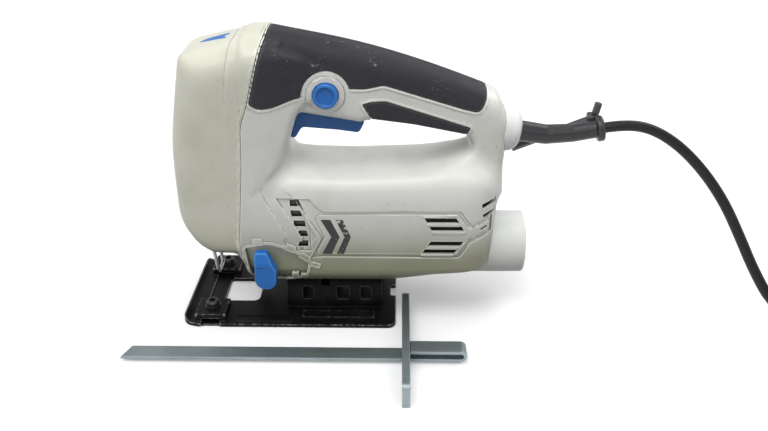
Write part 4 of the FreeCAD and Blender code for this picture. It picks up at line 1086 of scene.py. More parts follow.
@dataclass
class Housing:
    """Front cover and the two halves of the body, with everything cut into them."""

    wall: float = 4.0
    gap: float = 0.15               # half of the joint between two mouldings
    grip_depth: float = 1.9
    panel_depth: float = 0.9
    step_depth: float = 0.55
    ridge_top: float = 97.0
    ridge_fade: float = 9.0         # height over which the ridge runs out below its top
    ridge_inner: float = 24.0
    vent_depth: float = 3.4
    vent_inner: float = 20.0        # no vent is cut nearer to the middle plane than this
    backing: float = 1.8            # extra wall behind the vents, which are blind, with painted shade inside
    rim_height: float = 0.9
    rim_slope: float = 1.6          # width over which the band rises from the cover
    rim_start: float = 122.0
    rim_rise: float = 50.0          # height over which it grows out of the cover
    bead: float = 0.35
    pocket_depth: float = 2.4
    port_radius: float = 20.2
    port_height: float = 42.4
    port_start: float = 95.0
    button: Point2 = (27.8, 147.6)
    button_radius: float = 7.7
    boss_radius: float = 13.6
    boss_half: float = 18.6
    ring_radius: float = 9.2
    ring_half: float = 1.5
    ring_height: float = 0.9
    selector: Point2 = (-12.4, 35.6)
    hub_radius: float = 4.3
    cord_bore: float = 7.1
    post_sink: float = 2.4          # how far the posts end below the outside
    saddle_radius: float = 20.05
    tilt_height: float = 6.0
    step: float = 1.15
    close_step: float = 0.62

    SEAM = ((-3.5, 200, 0), (-3.5, 188, 0), (-15.0, 146, 8), (-19.5, 134, 30), (-21.5, 108, 40), (-27, 60, 0),
            (-27, 30, 0), (-90, 30, 0), (-90, 200, 0))
    RIM = ((-22, 200, 0), (-23, 184, 0), (-31, 120, 0), (0, 120, 0), (0, 200, 0))
    GRIP = ((-1.2, 200, 0), (-2.5, 188, 0), (-13.8, 147, 2.5), (-9.0, 143.6, 8), (-1, 143.6, 20),
            (9, 146.4, 6), (15.4, 147.2, 1), (21, 156, 3), (35, 156, 3), (40.4, 150.6, 1), (50, 150.3, 14),
            (61, 152.6, 8), (107, 138.2, 20), (116, 136.2, 4), (119.7, 143, 14), (121.5, 160, 0),
            (121.5, 200, 0))
    LOWER = ((48.2, 141.5, 1), (54, 143.2, 4), (62, 143.6, 6), (111.5, 127.4, 1), (109.5, 123, 2),
             (108, 116, 0), (53, 116, 0), (53, 133, 3))
    PANEL = ((8, 88, 0), (16.5, 88, 4), (24, 80, 6), (106.5, 80.8, 2), (113.2, 71, 2), (126, 75.2, 0),
             (126, 63.6, 0), (113.2, 58.8, 2), (106.8, 48.4, 3), (24, 48.6, 6), (16, 48, 0), (23, 62, 2))
    TERRACE = ((-3.2, 88.2, 0.5), (9.0, 88.2, 0.5), (16.4, 70, 2), (16.6, 52.6, 1), (9.0, 52.6, 0.5),
               (11.5, 62.2, 0.5))
    WINDOW = ((5.0, 88.0, 0.5), (8.0, 88.0, 0.5), (13.4, 72, 3), (14.8, 62, 3), (14.4, 54.6, 0.6),
              (8.0, 54.6, 0.6), (10.4, 62.2, 2), (6.6, 70.5, 3), (5.0, 79, 3))
    WINDOW_PITCH, WINDOW_START, WINDOW_OPEN = 6.9, 57.2, 4.1
    RIDGE = ((-12.8, 94.0, 0), (2.2, 62.2, 1.5), (-0.6, 57.8, 0.5), (9.0, 52.8, 0.5), (19.5, 62.2, 1),
             (6.6, 90.0, 2), (-4.0, 97.0, 0))
    PLATE = ((19.5, 76.6, 2), (25.2, 62.6, 2), (19.0, 50.6, 2), (105.2, 50.6, 3), (111.8, 60.8, 2),
             (124.4, 65.8, 1), (124.4, 72.0, 1), (112.2, 68.0, 2), (105.0, 78.4, 2), (60.0, 78.2, 60),
             (23.0, 77.6, 3))
    LIPS = (((83.2, 78.0), (104.6, 78.2), (104.6, 76.4), (84.6, 76.2)),
            ((86.6, 72.2), (106.2, 72.3), (107.6, 70.5), (87.5, 70.5)),
            ((89.6, 66.9), (109.4, 66.9), (110.0, 65.0), (90.6, 65.0)),
            ((87.0, 56.3), (107.0, 56.3), (106.1, 54.6), (86.0, 54.6)),
            ((83.7, 51.0), (103.6, 51.0), (102.6, 49.4), (82.9, 49.4)))
    TILES = ((-16.2, 59.2, 3.2, 2.6, 0), (3.6, 54.8, 3.1, 2.4, -26), (12.2, 48.6, 3.3, 2.2, -34),
             (18.6, 42.9, 3.0, 1.9, -20), (5.4, 35.0, 2.1, 1.7, 0), (11.4, 34.6, 2.6, 1.0, 8))
    LOUVRES = (((84.9, 75.8), (104.0, 75.8), (106.4, 72.4), (86.9, 72.4)),
               ((87.7, 70.3), (107.4, 70.3), (109.2, 66.9), (89.6, 66.9)),
               ((89.2, 59.8), (109.2, 59.8), (107.2, 56.4), (87.2, 56.4)),
               ((85.9, 54.5), (105.8, 54.5), (103.6, 51.1), (83.9, 51.1)),
               ((119.0, 84.0), (128.0, 86.2), (128.0, 82.8), (119.6, 80.6)),
               ((120.0, 77.0), (128.0, 79.2), (128.0, 76.2), (120.4, 74.0)),
               ((118.5, 67.6), (123.0, 69.4), (123.0, 67.8), (119.4, 66.2)))
    POCKET = ((-25.5, 55.5, 3), (-10, 58.5, 14), (3, 54.5, 20), (15.5, 46.5, 3), (13, 34, 4), (-4, 27, 0),
              (-22, 27, 0))
    SCREWS = ((-10, 126, 20), (60.5, 148, 13), (117.5, 119, 13), (120, 88, 20), (38, 93.6, 22))
    POST_RADIUS, SHANK_RADIUS, SEAT_RADIUS = 4.2, 1.8, 3.4
    SADDLE_BAY = (28.5, 33.5)       # middle and half length of the hollow over the saddle
    # ways through the skin for the plunger, the fork, the saddle's seat and the trigger
    WAYS = (((-47, -9, 20), (-25, 9, 60), 2.0), ((-33, -8, 10), (-4.5, 8, 60), 1.0),
            ((0, -13.6, 15), (56, 13.6, 34.6), 0.0), ((3.0, -6.4, 118), (51, 6.4, 142), 1.0))

    def __post_init__(self) -> None:
        """Measure the body and the outlines of its details."""
        self.form = BodyForm()
        self.seam = Outline(self.SEAM)
        self.rim = Outline(self.RIM)
        self.grip = Outline(self.GRIP, 0.25)
        self.lower = Outline(self.LOWER, 0.25)
        self.panel = Outline(self.PANEL, 0.25)
        self.terrace = Outline(self.TERRACE, 0.2)
        self.window = Outline(self.WINDOW, 0.15)
        self.louvres = self._slits(self.LOUVRES, 0.5)
        self.pocket = Outline(self.POCKET, 0.2)
        self.ridge, self.plate = Outline(self.RIDGE, 0.2), Outline(self.PLATE, 0.25)
        self.lips = self._slits(self.LIPS, 0.7)

    @staticmethod
    def _slits(tables: Sequence[Sequence[Point2]], radius: float) -> list[Outline]:
        """Outlines of narrow shapes whose corners are all rounded by the same radius."""
        return [Outline([(*corner, radius) for corner in corners], 0.15, 6.0) for corners in tables]

    def vents(self, x: Array, z: Array) -> Array:
        """Cooling slots of both sides, seen from the side.

        Args:
            x, z: Where to measure, in millimetres.

        Returns:
            Signed distances, negative inside.
        """
        level = (z - self.WINDOW_START + self.WINDOW_PITCH / 2) % self.WINDOW_PITCH - self.WINDOW_PITCH / 2
        cut = np.maximum(self.window(x, z), np.abs(level) - self.WINDOW_OPEN / 2)
        for louvre in self.louvres:
            cut = np.minimum(cut, louvre(x, z))
        return cut

    def surface(self, x: Array, y: Array, z: Array) -> Array:
        """Outside of the two halves, with the sunken panels and the selector's pocket.

        Args:
            x, y, z: Where to measure, in millimetres.

        Returns:
            Signed distances, negative inside.
        """
        form = self.form(x, y, z)
        fade = np.clip((self.ridge_top - z) / self.ridge_fade, 0.0, 1.0)
        ridge = np.maximum(self.ridge(x, z), self.ridge_inner - np.abs(y))
        surface = sunk(form, ridge, self.step_depth * fade, 0.25)
        surface = sunk(surface, self.terrace(x, z), self.panel_depth + 0.3, 0.25)
        groove = np.maximum(self.panel(x, z), -round_max(self.plate(x, z), form + 0.12, 0.2))
        surface = sunk(surface, groove, self.panel_depth, 0.25)
        pocket = self.pocket(x, z)
        surface = sunk(surface, np.maximum(pocket, y), self.pocket_depth, 0.8)
        tiles = marks = np.maximum(np.abs(pocket) - 0.9, 29.0 - z)
        for tile_x, tile_z, half, tall, turn in self.TILES:
            tiles = np.minimum(tiles, self._tile(x - tile_x, z - tile_z, half, tall, math.radians(turn)))
        marks = np.maximum(marks, y)
        tiles = np.maximum(np.maximum(tiles, y), np.maximum(form - 2 * self.bead, -form - self.wall))
        for lip in self.lips:
            marks = np.minimum(marks, lip(x, z))
        edge = np.abs(np.minimum(self.grip(x, z), self.lower(x, z)) - 0.7) - 0.7
        edge = np.maximum(edge, self.boss_radius + 0.4 - np.hypot(x - self.button[0], z - self.button[1]))
        marks = round_max(np.minimum(marks, edge), form - self.bead, 0.3)
        return np.minimum(np.minimum(surface, tiles), np.maximum(marks, -form - self.wall))

    @staticmethod
    def _tile(x: Array, z: Array, half: float, tall: float, turn: float) -> Array:
        """Distance to the outline of one blank tile, turned in the side view.

        Args:
            x, z: Places from the tile's middle.
            half, tall: Half its length and half its height.
            turn: Its turn, in radians.

        Returns:
            Signed distances, negative inside.
        """
        rounding = 0.5
        along, up = x * math.cos(turn) + z * math.sin(turn), z * math.cos(turn) - x * math.sin(turn)
        beside = np.maximum(np.abs(along) - half + rounding, 0.0)
        above = np.maximum(np.abs(up) - tall + rounding, 0.0)
        return np.hypot(beside, above) - rounding

    def openings(self, x: Array, y: Array, z: Array) -> Array:
        """Everything that enters or leaves the body.

        Args:
            x, y, z: Where to measure, in millimetres.

        Returns:
            Signed distances, negative inside.
        """
        tilt = np.hypot(y, z - self.tilt_height) - self.saddle_radius
        middle, half = self.SADDLE_BAY
        cut = np.maximum(tilt, np.abs(x - middle) - half)
        for low, high, rounding in self.WAYS:
            cut = np.minimum(cut, box_field(x, y, z, low, high, rounding))
        port = np.maximum(np.hypot(y, z - self.port_height) - self.port_radius, self.port_start - x)
        cut = np.minimum(cut, port)
        button = np.hypot(x - self.button[0], z - self.button[1]) - self.button_radius
        cut = np.minimum(cut, np.maximum(button, y + 5))
        hub = np.hypot(x - self.selector[0], z - self.selector[1]) - self.hub_radius
        cut = np.minimum(cut, np.maximum(hub, y + 20))
        return np.minimum(cut, rod_field(x, y, z, (125, 0, 121.6), (150, 0, 118.8), self.cord_bore))

    def shell(self, x: Array, y: Array, z: Array) -> Array:
        """Hollow body with its openings, before it is divided.

        Args:
            x, y, z: Where to measure, in millimetres.

        Returns:
            Signed distances, negative inside.
        """
        form = self.form(x, y, z)
        boss = np.hypot(x - self.button[0], z - self.button[1]) - self.boss_radius
        boss = np.maximum(boss, np.abs(y) - self.boss_half)
        grip = np.maximum(self.grip(x, z), -form - self.grip_depth)
        lower = np.maximum(self.lower(x, z), -form - self.grip_depth)
        vents = self.vents(x, z)
        # blind backing behind the vents; the halves' material paints shade on their insides
        backing = np.maximum(vents - 2.0, self.vent_inner - np.abs(y))
        backing = np.maximum(backing, -form - self.wall - self.backing)
        shell = np.maximum(self.surface(x, y, z), np.minimum(-form - self.wall, backing))
        shell = np.maximum(shell, -np.maximum(np.minimum(grip, lower), -boss))
        ring = np.abs(np.hypot(x - self.button[0], z - self.button[1]) - self.ring_radius) - self.ring_half
        ring = np.maximum(ring, np.maximum(form - self.ring_height, -form - 2))
        shell = round_min(shell, np.maximum(ring, y), 0.6)
        slots = np.maximum(vents, np.maximum(self.vent_inner - np.abs(y), -self.vent_depth - form))
        return np.maximum(np.maximum(shell, -slots), -self.openings(x, y, z))

    def posts(self, x: Array, y: Array, z: Array, side: int) -> tuple[Array, Array]:
        """Screw posts of one half and the holes in them.

        Args:
            x, y, z: Where to measure, in millimetres.
            side: -1 for the left half, +1 for the right.

        Returns:
            Distances to the posts and to the holes.
        """
        posts = holes = np.float64(1e3)
        for screw_x, screw_z, seat in self.SCREWS:
            away = np.hypot(x - screw_x, z - screw_z)
            posts = np.minimum(posts, away - self.POST_RADIUS)
            if side > 0:
                holes = np.minimum(holes, away - self.SHANK_RADIUS)
                holes = np.minimum(holes, np.maximum(away - self.SEAT_RADIUS, seat - y))
            else:
                holes = np.minimum(holes, np.maximum(away - self.SHANK_RADIUS, 5 - seat - y))
        return posts, holes

    def half(self, side: int, x: Array, y: Array, z: Array) -> Array:
        """Distance to one half of the body.

        Args:
            side: -1 for the left half, +1 for the right.
            x, y, z: Where to measure, in millimetres.

        Returns:
            Signed distances, negative inside.
        """
        posts, holes = self.posts(x, y, z, side)
        posts = np.maximum(posts, self.form(x, y, z) + self.post_sink)
        solid = np.maximum(np.minimum(self.shell(x, y, z), posts), -holes)
        solid = np.maximum(solid, self.gap - side * y)
        return np.maximum(solid, self.gap - self.seam(x, z))

    def cover(self, x: Array, y: Array, z: Array) -> Array:
        """Distance to the front cover, with the band that stands up along its rear edge.

        Args:
            x, y, z: Where to measure, in millimetres.

        Returns:
            Signed distances, negative inside.
        """
        band = np.clip(-self.rim(x, z) / self.rim_slope, 0.0, 1.0)
        band = band * np.clip((z - self.rim_start) / self.rim_rise, 0.0, 1.0)
        lift = self.rim_height * band * band * (3 - 2 * band)
        bead = np.clip(1.4 - np.abs(self.seam(x, z) + 1.5) * 1.4, 0.0, 1.0)
        lift = lift + self.bead * bead * np.clip((176.0 - z) / 8.0, 0.0, 1.0)
        form = self.form(x, y, z)
        shell = np.maximum(form - lift, -form - self.wall)
        shell = np.maximum(shell, -self.openings(x, y, z))
        return np.maximum(shell, self.seam(x, z) + self.gap)

    def build(self, plastic: bpy.types.Material, cover_plastic: bpy.types.Material) -> None:
        """Make the cover and the two halves.

        Args:
            plastic: Finish of the halves.
            cover_plastic: Finish of the cover.
        """
        levels = np.concatenate([planes(20, 132, self.step, (45.2, 92.4, self.close_step)),
                                 planes(132, 188, self.step, (132.7, 162.8, 0.8))[1:]])
        for side, name, node in ((-1, "left_half", "left_housing"), (1, "right_half", "right_housing")):
            near, far = sorted((side * 0.0, side * 35.5))
            across = planes(near - 0.6, far + 0.6, self.step)
            net = SurfaceNet(partial(self.half, side), planes(-31, 140, 0.8), across, levels)
            # the depth below the outside tells the material where to paint the shade inside the vents
            mesh = net.mesh(name, lambda x, y, z: -0.1 * self.form(x, y, z))
            finish_piece(mesh, name, "saw_body", plastic, [node])
        grid = [planes(low, high, self.step) for low, high in ((-72, 0), (-36, 36), (40, 189))]
        net_piece(self.cover, grid, "front_shell", "saw_body", cover_plastic, "front_cover")


@dataclass
class HandGrip:
    """Soft sleeve over the top of the handle, the strip under it and the coloured flash on the head."""

    housing: Housing
    depth: float = 1.8
    proud: float = 0.15
    clear: float = 0.3              # joint all round the rubber
    strip_step: float = 0.7
    step: float = 0.75

    FLASH = ((-44.5, 0.4, 0.4), (-27.5, -4.0, 0.8), (-31.0, 1.2, 0.4), (-26.0, 5.4, 0.8), (-40.0, 4.2, 1.0))

    def _inlaid(self, zone: Outline, x: Array, y: Array, z: Array) -> Array:
        """Distance to a skin let into the body.

        Args:
            zone: Part of the side view that it covers.
            x, y, z: Where to measure, in millimetres.

        Returns:
            Signed distances, negative inside.
        """
        housing = self.housing
        form = housing.form(x, y, z)
        boss = np.hypot(x - housing.button[0], z - housing.button[1]) - housing.boss_radius - self.clear
        edge = round_max(zone(x, z) + self.clear, -boss, 0.5)
        return np.maximum(round_max(edge, form - self.proud, 1.2), -form - self.depth)

    def _flash(self, x: Array, y: Array, z: Array) -> Array:
        """Distance to the flash, a thin coloured inlay in the head's top."""
        form = self.housing.form(x, y, z)
        return np.maximum(np.maximum(self.flash(x, y), np.maximum(form - 0.35, -form - 1.2)), 150 - z)

    def build(self, rubber: bpy.types.Material, blue: bpy.types.Material) -> None:
        """Make the sleeve, the strip and the flash.

        Args:
            rubber: Finish of sleeve and strip.
            blue: Finish of the flash.
        """
        self.flash = Outline(self.FLASH, 0.1, 4.0)
        for name, node, zone, step, box in (
                ("grip_sleeve", "grip_overmould", self.housing.grip, self.step,
                 ((-15, 124), (-33, 33), (134, 188))),
                ("grip_strip", "lower_grip", self.housing.lower, self.strip_step,
                 ((46, 114), (-19, 19), (113, 146)))):
            grid = [planes(low, high, step) for low, high in box]
            net_piece(partial(self._inlaid, zone), grid, name, "saw_body", rubber, node)
        grid = [planes(low, high, 0.35) for low, high in ((-45.5, -25), (-7.5, 7.5), (165, 186))]
        net_piece(self._flash, grid, "top_flash", "saw_body", blue, "top_inlay")


# ---- fittings of the body -------------------------------------------------------------------------------
@dataclass
class CordEntry:
    """Collar at the top of the rear column, the tapered sleeve of the lead, and the key in its clip."""

    form: BodyForm
    collar_start: Point3 = (127.0, 0.0, 122.1)
    collar_end: Point3 = (141.8, 0.0, 119.6)
    collar_radius: float = 15.6
    collar_end_radius: float = 11.4
    bore: float = 6.5
    key_across: float = 4.0
    key_bend: float = 4.5
    step: float = 0.7

    SLEEVE = ((126.0, 0.0, 122.2), (143.0, 0.0, 119.4), (158.0, 0.0, 117.2), (174.0, 0.0, 118.2),
              (192.0, 0.0, 121.4))
    SLEEVE_RADII = (6.4, 6.3, 5.9, 5.5, 5.2)
    KEY = ((139.5, 8.2, 104.5), (187.6, 8.2, 124.6), (189.4, 8.2, 134.0))

    def collar(self, x: Array, y: Array, z: Array) -> Array:
        """Distance to the domed collar with its flat end.

        Args:
            x, y, z: Where to measure, in millimetres.

        Returns:
            Signed distances, negative inside.
        """
        dome = rod_field(x, y, z, self.collar_start, self.collar_end, self.collar_radius, 5.0,
                         self.collar_end_radius)
        bore = rod_field(x, y, z, (120, 0, 123.3), (150, 0, 118.3), self.bore)
        return np.maximum(np.maximum(dome, -bore), 0.12 - self.form(x, y, z))

    def sleeve(self, x: Array, y: Array, z: Array) -> Array:
        """Distance to the sleeve and the clip ring round its end.

        Args:
            x, y, z: Where to measure, in millimetres.

        Returns:
            Signed distances, negative inside.
        """
        solid = np.float64(1e3)
        runs = zip(self.SLEEVE, self.SLEEVE[1:], self.SLEEVE_RADII, self.SLEEVE_RADII[1:])
        for start, end, first, last in runs:
            run = rod_field(x, y, z, start, end, first, 0.0, last)
            knee = np.sqrt((x - end[0]) ** 2 + (y - end[1]) ** 2 + (z - end[2]) ** 2) - last
            solid = np.minimum(solid, run if end is self.SLEEVE[-1] else np.minimum(run, knee))
        ring = rod_field(x, y, z, (187.6, 0, 120.6), (191.9, 0, 121.38), 7.8, 1.6)
        lug = box_field(x, y, z, (183.4, 3.0, 119.4), (187.4, 11.4, 127.6), 1.4)
        key = rod_field(x, y, z, self.KEY[0], self.KEY[1], self.key_across * 0.56)
        return np.maximum(round_min(round_min(solid, ring, 1.2), lug, 1.0), 0.05 - key)

    def build(self, looks: Looks) -> None:
        """Make the collar, the sleeve and the key.

        Args:
            looks: Every finish by name.
        """
        net_piece(self.collar, box_grid((122, -15.8, 103), (142.4, 15.8, 139), self.step),
                  "cord_cap", "saw_body", looks["fittings"], "cord_collar")
        net_piece(self.sleeve, box_grid((124.0, -8, 108.5), (193.8, 11.6, 129.6), self.step),
                  "lead_sleeve", "saw_body", looks["sleeve"], "cord_guard")
        mesh = bent_bar("clipped_key", self.KEY, self.key_across / math.sqrt(3), self.key_bend, 6,
                        looks["dark_steel"])
        finish_piece(mesh, "clipped_key", "saw_body", looks["dark_steel"], ["hex_key"])


@dataclass
class DustPort:
    """Round socket for a vacuum hose, running into the tail of the body."""

    radius: float = 20.0
    bore: float = 17.7
    height: float = 42.4
    end: float = 149.5
    bore_depth: float = 20.0
    lip: float = 1.6
    draft: float = 0.012
    draft_start: float = 130.0
    step: float = 0.85

    MOUTH = ((60, 0, 0), (99.5, 0, 0), (99.5, 22, 0), (128.5, 64, 0), (128.5, 90, 0), (60, 90, 0))

    def socket(self, x: Array, y: Array, z: Array) -> Array:
        """Distance to the socket, with its stepped bore.

        Args:
            x, y, z: Where to measure, in millimetres.

        Returns:
            Signed distances, negative inside.
        """
        away = np.hypot(y, z - self.height)
        outside = away - self.radius + self.draft * np.maximum(x - self.draft_start, 0.0)
        outside = round_max(outside, x - self.end, self.lip)
        bore = round_max(away - self.bore, self.end - self.bore_depth - x, 0.6)
        bore = np.minimum(bore, away - self.bore + 1.2)
        inner_lip = away - self.bore - 0.6 + np.maximum(self.end - 0.6 - x, 0.0)
        return np.maximum(round_max(outside, -np.minimum(bore, inner_lip), 0.4), -self.mouth(x, z))

    def build(self, looks: Looks) -> None:
        """Make the socket.

        Args:
            looks: Every finish by name.
        """
        self.mouth = Outline(self.MOUTH)
        net_piece(self.socket, box_grid((98, -20.2, 22.2), (149.5, 20.2, 62.6), self.step),
                  "dust_socket", "saw_body", looks["fittings"], "dust_port")


@dataclass
class Controls:
    """The parts that fingers move: trigger, lock button and orbit lever."""

    button: Point2 = (27.8, 147.6)
    button_radius: float = 7.35
    button_face: float = -20.0
    dish_radius: float = 5.7
    dish_depth: float = 1.3
    trigger_half: float = 5.9
    pin: Point2 = (53.0, 137.0)
    pin_bore: float = 1.9
    lever_face: float = -39.45
    lever_back: float = -32.5
    lever_slope: float = 0.375
    lever_break: float = 47.6
    mark: Point3 = (-14.0, 45.0, 5.0)       # x, z and length of the lever's index line

    TRIGGER = ((56, 140, 2.5), (56, 134, 2.5), (49.2, 133, 1), (48.8, 125.8, 2.4), (45.8, 119.8, 2.6),
               (33, 121.6, 20), (11.8, 123.4, 3.4), (7.4, 116.6, 1.6), (4.4, 116.6, 1.4), (2.6, 135.5, 2),
               (10.4, 139.5, 2), (46, 136, 6))
    LEVER = ((-18.4, 29.4, 6.0), (-17.9, 54.3, 2.2), (-10.3, 54.3, 2.2), (-4.7, 42.5, 4.0), (-5.6, 29.4, 6.0))

    def _button(self, x: Array, y: Array, z: Array) -> Array:
        """Distance to the button, with its dished face and stem.

        Args:
            x, y, z: Where to measure, in millimetres.

        Returns:
            Signed distances, negative inside.
        """
        away = np.hypot(x - self.button[0], z - self.button[1])
        cap = round_max(away - self.button_radius, np.maximum(self.button_face - y, y + 13.6), 1.5)
        depth = self.dish_depth * np.clip(1.0 - (away / self.dish_radius) ** 4, 0.0, 1.0)
        cap = np.maximum(cap, self.button_face + depth - y)
        stem = np.maximum(away - 2.5, np.maximum(-13.9 - y, y + 11.4))
        return np.minimum(cap, stem)

    def _lever(self, x: Array, y: Array, z: Array) -> Array:
        """Distance to the wedge-shaped lever: its face falls back towards the top.

        Args:
            x, y, z: Where to measure, in millimetres.

        Returns:
            Signed distances, negative inside.
        """
        side = self.lever_outline(x, z)
        fall = self.lever_slope * (z - self.lever_break)
        face = np.maximum(self.lever_face - y, self.lever_face + fall - y)
        lever = round_max(round_max(side, face, 1.2), y - self.lever_back, 0.6)
        line = box_field(x, y, z, (self.mark[0] - self.mark[2] / 2, -45, self.mark[1] - 0.35),
                         (self.mark[0] + self.mark[2] / 2, self.lever_face + 0.45, self.mark[1] + 0.35))
        return np.maximum(lever, -line)

    def _trigger(self, x: Array, y: Array, z: Array) -> Array:
        """Distance to the finger trigger, with the hole for its pin."""
        solid = round_max(self.trigger_outline(x, z), np.abs(y) - self.trigger_half, 2.0)
        return np.maximum(solid, self.pin_bore - np.hypot(x - self.pin[0], z - self.pin[1]))

    def build(self, looks: Looks) -> None:
        """Make the three pieces.

        Args:
            looks: Every finish by name.
        """
        self.lever_outline = Outline(self.LEVER, 0.1, 4.0)
        self.trigger_outline = Outline(self.TRIGGER, 0.15, 4.0)
        net_piece(self._button, box_grid((20, -20.2, 140), (35.6, -11.2, 155.4), 0.36),
                  "lock_cap", "lock_button", looks["blue"], "lock_button")
        net_piece(self._lever, box_grid((-19, -39.6, 28.8), (-4.2, -32.3, 54.8), 0.36),
                  "orbit_lever", "selector", looks["lever_blue"], "selector_lever")
        net_piece(self._trigger, box_grid((2.0, -6.1, 116.0), (56.4, 6.1, 140.4), 0.5),
                  "finger_trigger", "trigger", looks["trigger_blue"], "trigger")


class Drive(Enum):
    """How a screw is turned."""

    CROSS = "cross recess"
    HEX = "hexagon socket"


@dataclass
class ScrewSet:
    """Screws of one kind that point the same way, laid out on their seats by one tree."""

    name: str
    body: str
    slot: str
    nodes: Sequence[str]
    seats: Sequence[Point3]
    turn: Point3                    # Euler angles in degrees that take +Z to the way the heads look
    head_radius: float
    head_height: float
    shank_radius: float
    shank_length: float
    recess: float
    drive: Drive = Drive.HEX
    washer_radius: float = 0.0
    seed: int = 5

    def build(self, material: bpy.types.Material) -> None:
        """Lay the screws out and bake them.

        Args:
            material: Their finish.
        """
        layout = Layout(self.name, {
            "Head Radius": self.head_radius * MM, "Head Height": self.head_height * MM,
            "Shank Radius": self.shank_radius * MM, "Shank Length": self.shank_length * MM,
            "Recess": self.recess * MM, "Washer Radius": self.washer_radius * MM, "Seed": self.seed,
            "Turn": tuple(math.radians(angle) for angle in self.turn)})
        screw = self._screw(layout)
        angle = layout.add("FunctionNodeRandomValue", {"data_type": "FLOAT"},
                           {2: 0.0, 3: math.tau, "Seed": layout.given("Seed")}, 1)
        spin = layout.add("ShaderNodeCombineXYZ", {}, {"Z": angle})
        spin = layout.add("FunctionNodeEulerToRotation", {}, {0: spin})
        aim = layout.add("FunctionNodeEulerToRotation", {}, {0: layout.given("Turn")})
        aim = layout.add("FunctionNodeRotateRotation", {"rotation_space": "LOCAL"}, {0: aim, 1: spin})
        placed = layout.add("GeometryNodeInstanceOnPoints", {},
                            {"Points": layout.given("Geometry"), "Instance": screw, "Rotation": aim})
        layout.finish(placed)
        mesh = layout.bake(self.name, self.seats, material)
        finish_piece(mesh, self.name, self.body, material, self.nodes, 30.0)

    def _disc(self, layout: Layout, radius: Link, height: Link, base: Link | float, sides: int) -> Link:
        """Upright cylinder standing on a level.

        Args:
            layout: The tree.
            radius: Its radius.
            height: Its height.
            base: Level of its foot.
            sides: Its sides.

        Returns:
            The cylinder.
        """
        sockets = {"Vertices": sides, "Radius": radius, "Depth": height}
        disc = layout.add("GeometryNodeMeshCylinder", {}, sockets, "Mesh")
        lift = layout.add("ShaderNodeCombineXYZ", {}, {"Z": height * 0.5 + base})
        return layout.add("GeometryNodeTransform", {}, {"Geometry": disc, "Translation": lift})

    def _screw(self, layout: Layout) -> Link:
        """One screw with its seat at the origin: shank, washer, chamfered head and recess.

        Args:
            layout: The tree.

        Returns:
            The screw.
        """
        radius, height = layout.given("Head Radius"), layout.given("Head Height")
        length = layout.given("Shank Length")
        parts = [self._disc(layout, radius, height * 0.76, 0.0, 32),
                 self._disc(layout, layout.given("Shank Radius"), length + height * 0.2, length * -1.0, 20)]
        sockets = {"Vertices": 32, "Radius Top": radius * 0.84, "Radius Bottom": radius,
                   "Depth": height * 0.26}
        crown = layout.add("GeometryNodeMeshCone", {}, sockets, "Mesh")
        lift = layout.add("ShaderNodeCombineXYZ", {}, {"Z": height * 0.74})
        parts.append(layout.add("GeometryNodeTransform", {}, {"Geometry": crown, "Translation": lift}))
        if self.washer_radius > 0.0:
            parts.append(self._disc(layout, layout.given("Washer Radius"), height * 0.16, height * 0.005, 36))
        solid = self._boolean(layout, "UNION", *parts)
        return self._boolean(layout, "DIFFERENCE", solid, *self._recess(layout, height))

    def _recess(self, layout: Layout, height: Link) -> list[Link]:
        """The cutter or cutters of the chosen drive.

        Args:
            layout: The tree.
            height: Height of the head.

        Returns:
            The cutters.
        """
        size = layout.given("Recess")
        if self.drive is Drive.HEX:
            return [self._disc(layout, size, height, height * 0.45, 6)]
        cutters = []
        for long, short in (("X", "Y"), ("Y", "X")):
            sockets = {long: size * 2.0, short: size * 0.42, "Z": height}
            block = layout.add("ShaderNodeCombineXYZ", {}, sockets)
            cube = layout.add("GeometryNodeMeshCube", {}, {"Size": block}, "Mesh")
            lift = layout.add("ShaderNodeCombineXYZ", {}, {"Z": height * 0.95})
            cutters.append(layout.add("GeometryNodeTransform", {}, {"Geometry": cube, "Translation": lift}))
        return cutters

    @staticmethod
    def _boolean(layout: Layout, operation: str, first: Link, *others: Link) -> Link:
        """Boolean of closed meshes.

        Args:
            layout: The tree.
            operation: UNION or DIFFERENCE.
            first: The mesh that is added to or cut.
            *others: What is added or cut away.

        Returns:
            The result.
        """
        node = layout.tree.nodes.new("GeometryNodeMeshBoolean")
        node.operation = operation
        node.solver = "EXACT"
        if operation == "UNION":
            layout.tree.links.new(first.socket, node.inputs[1])
        else:
            layout.tree.links.new(first.socket, node.inputs[0])
        for other in others:
            layout.tree.links.new(other.socket, node.inputs[1])
        return Link(layout, node.outputs[0])


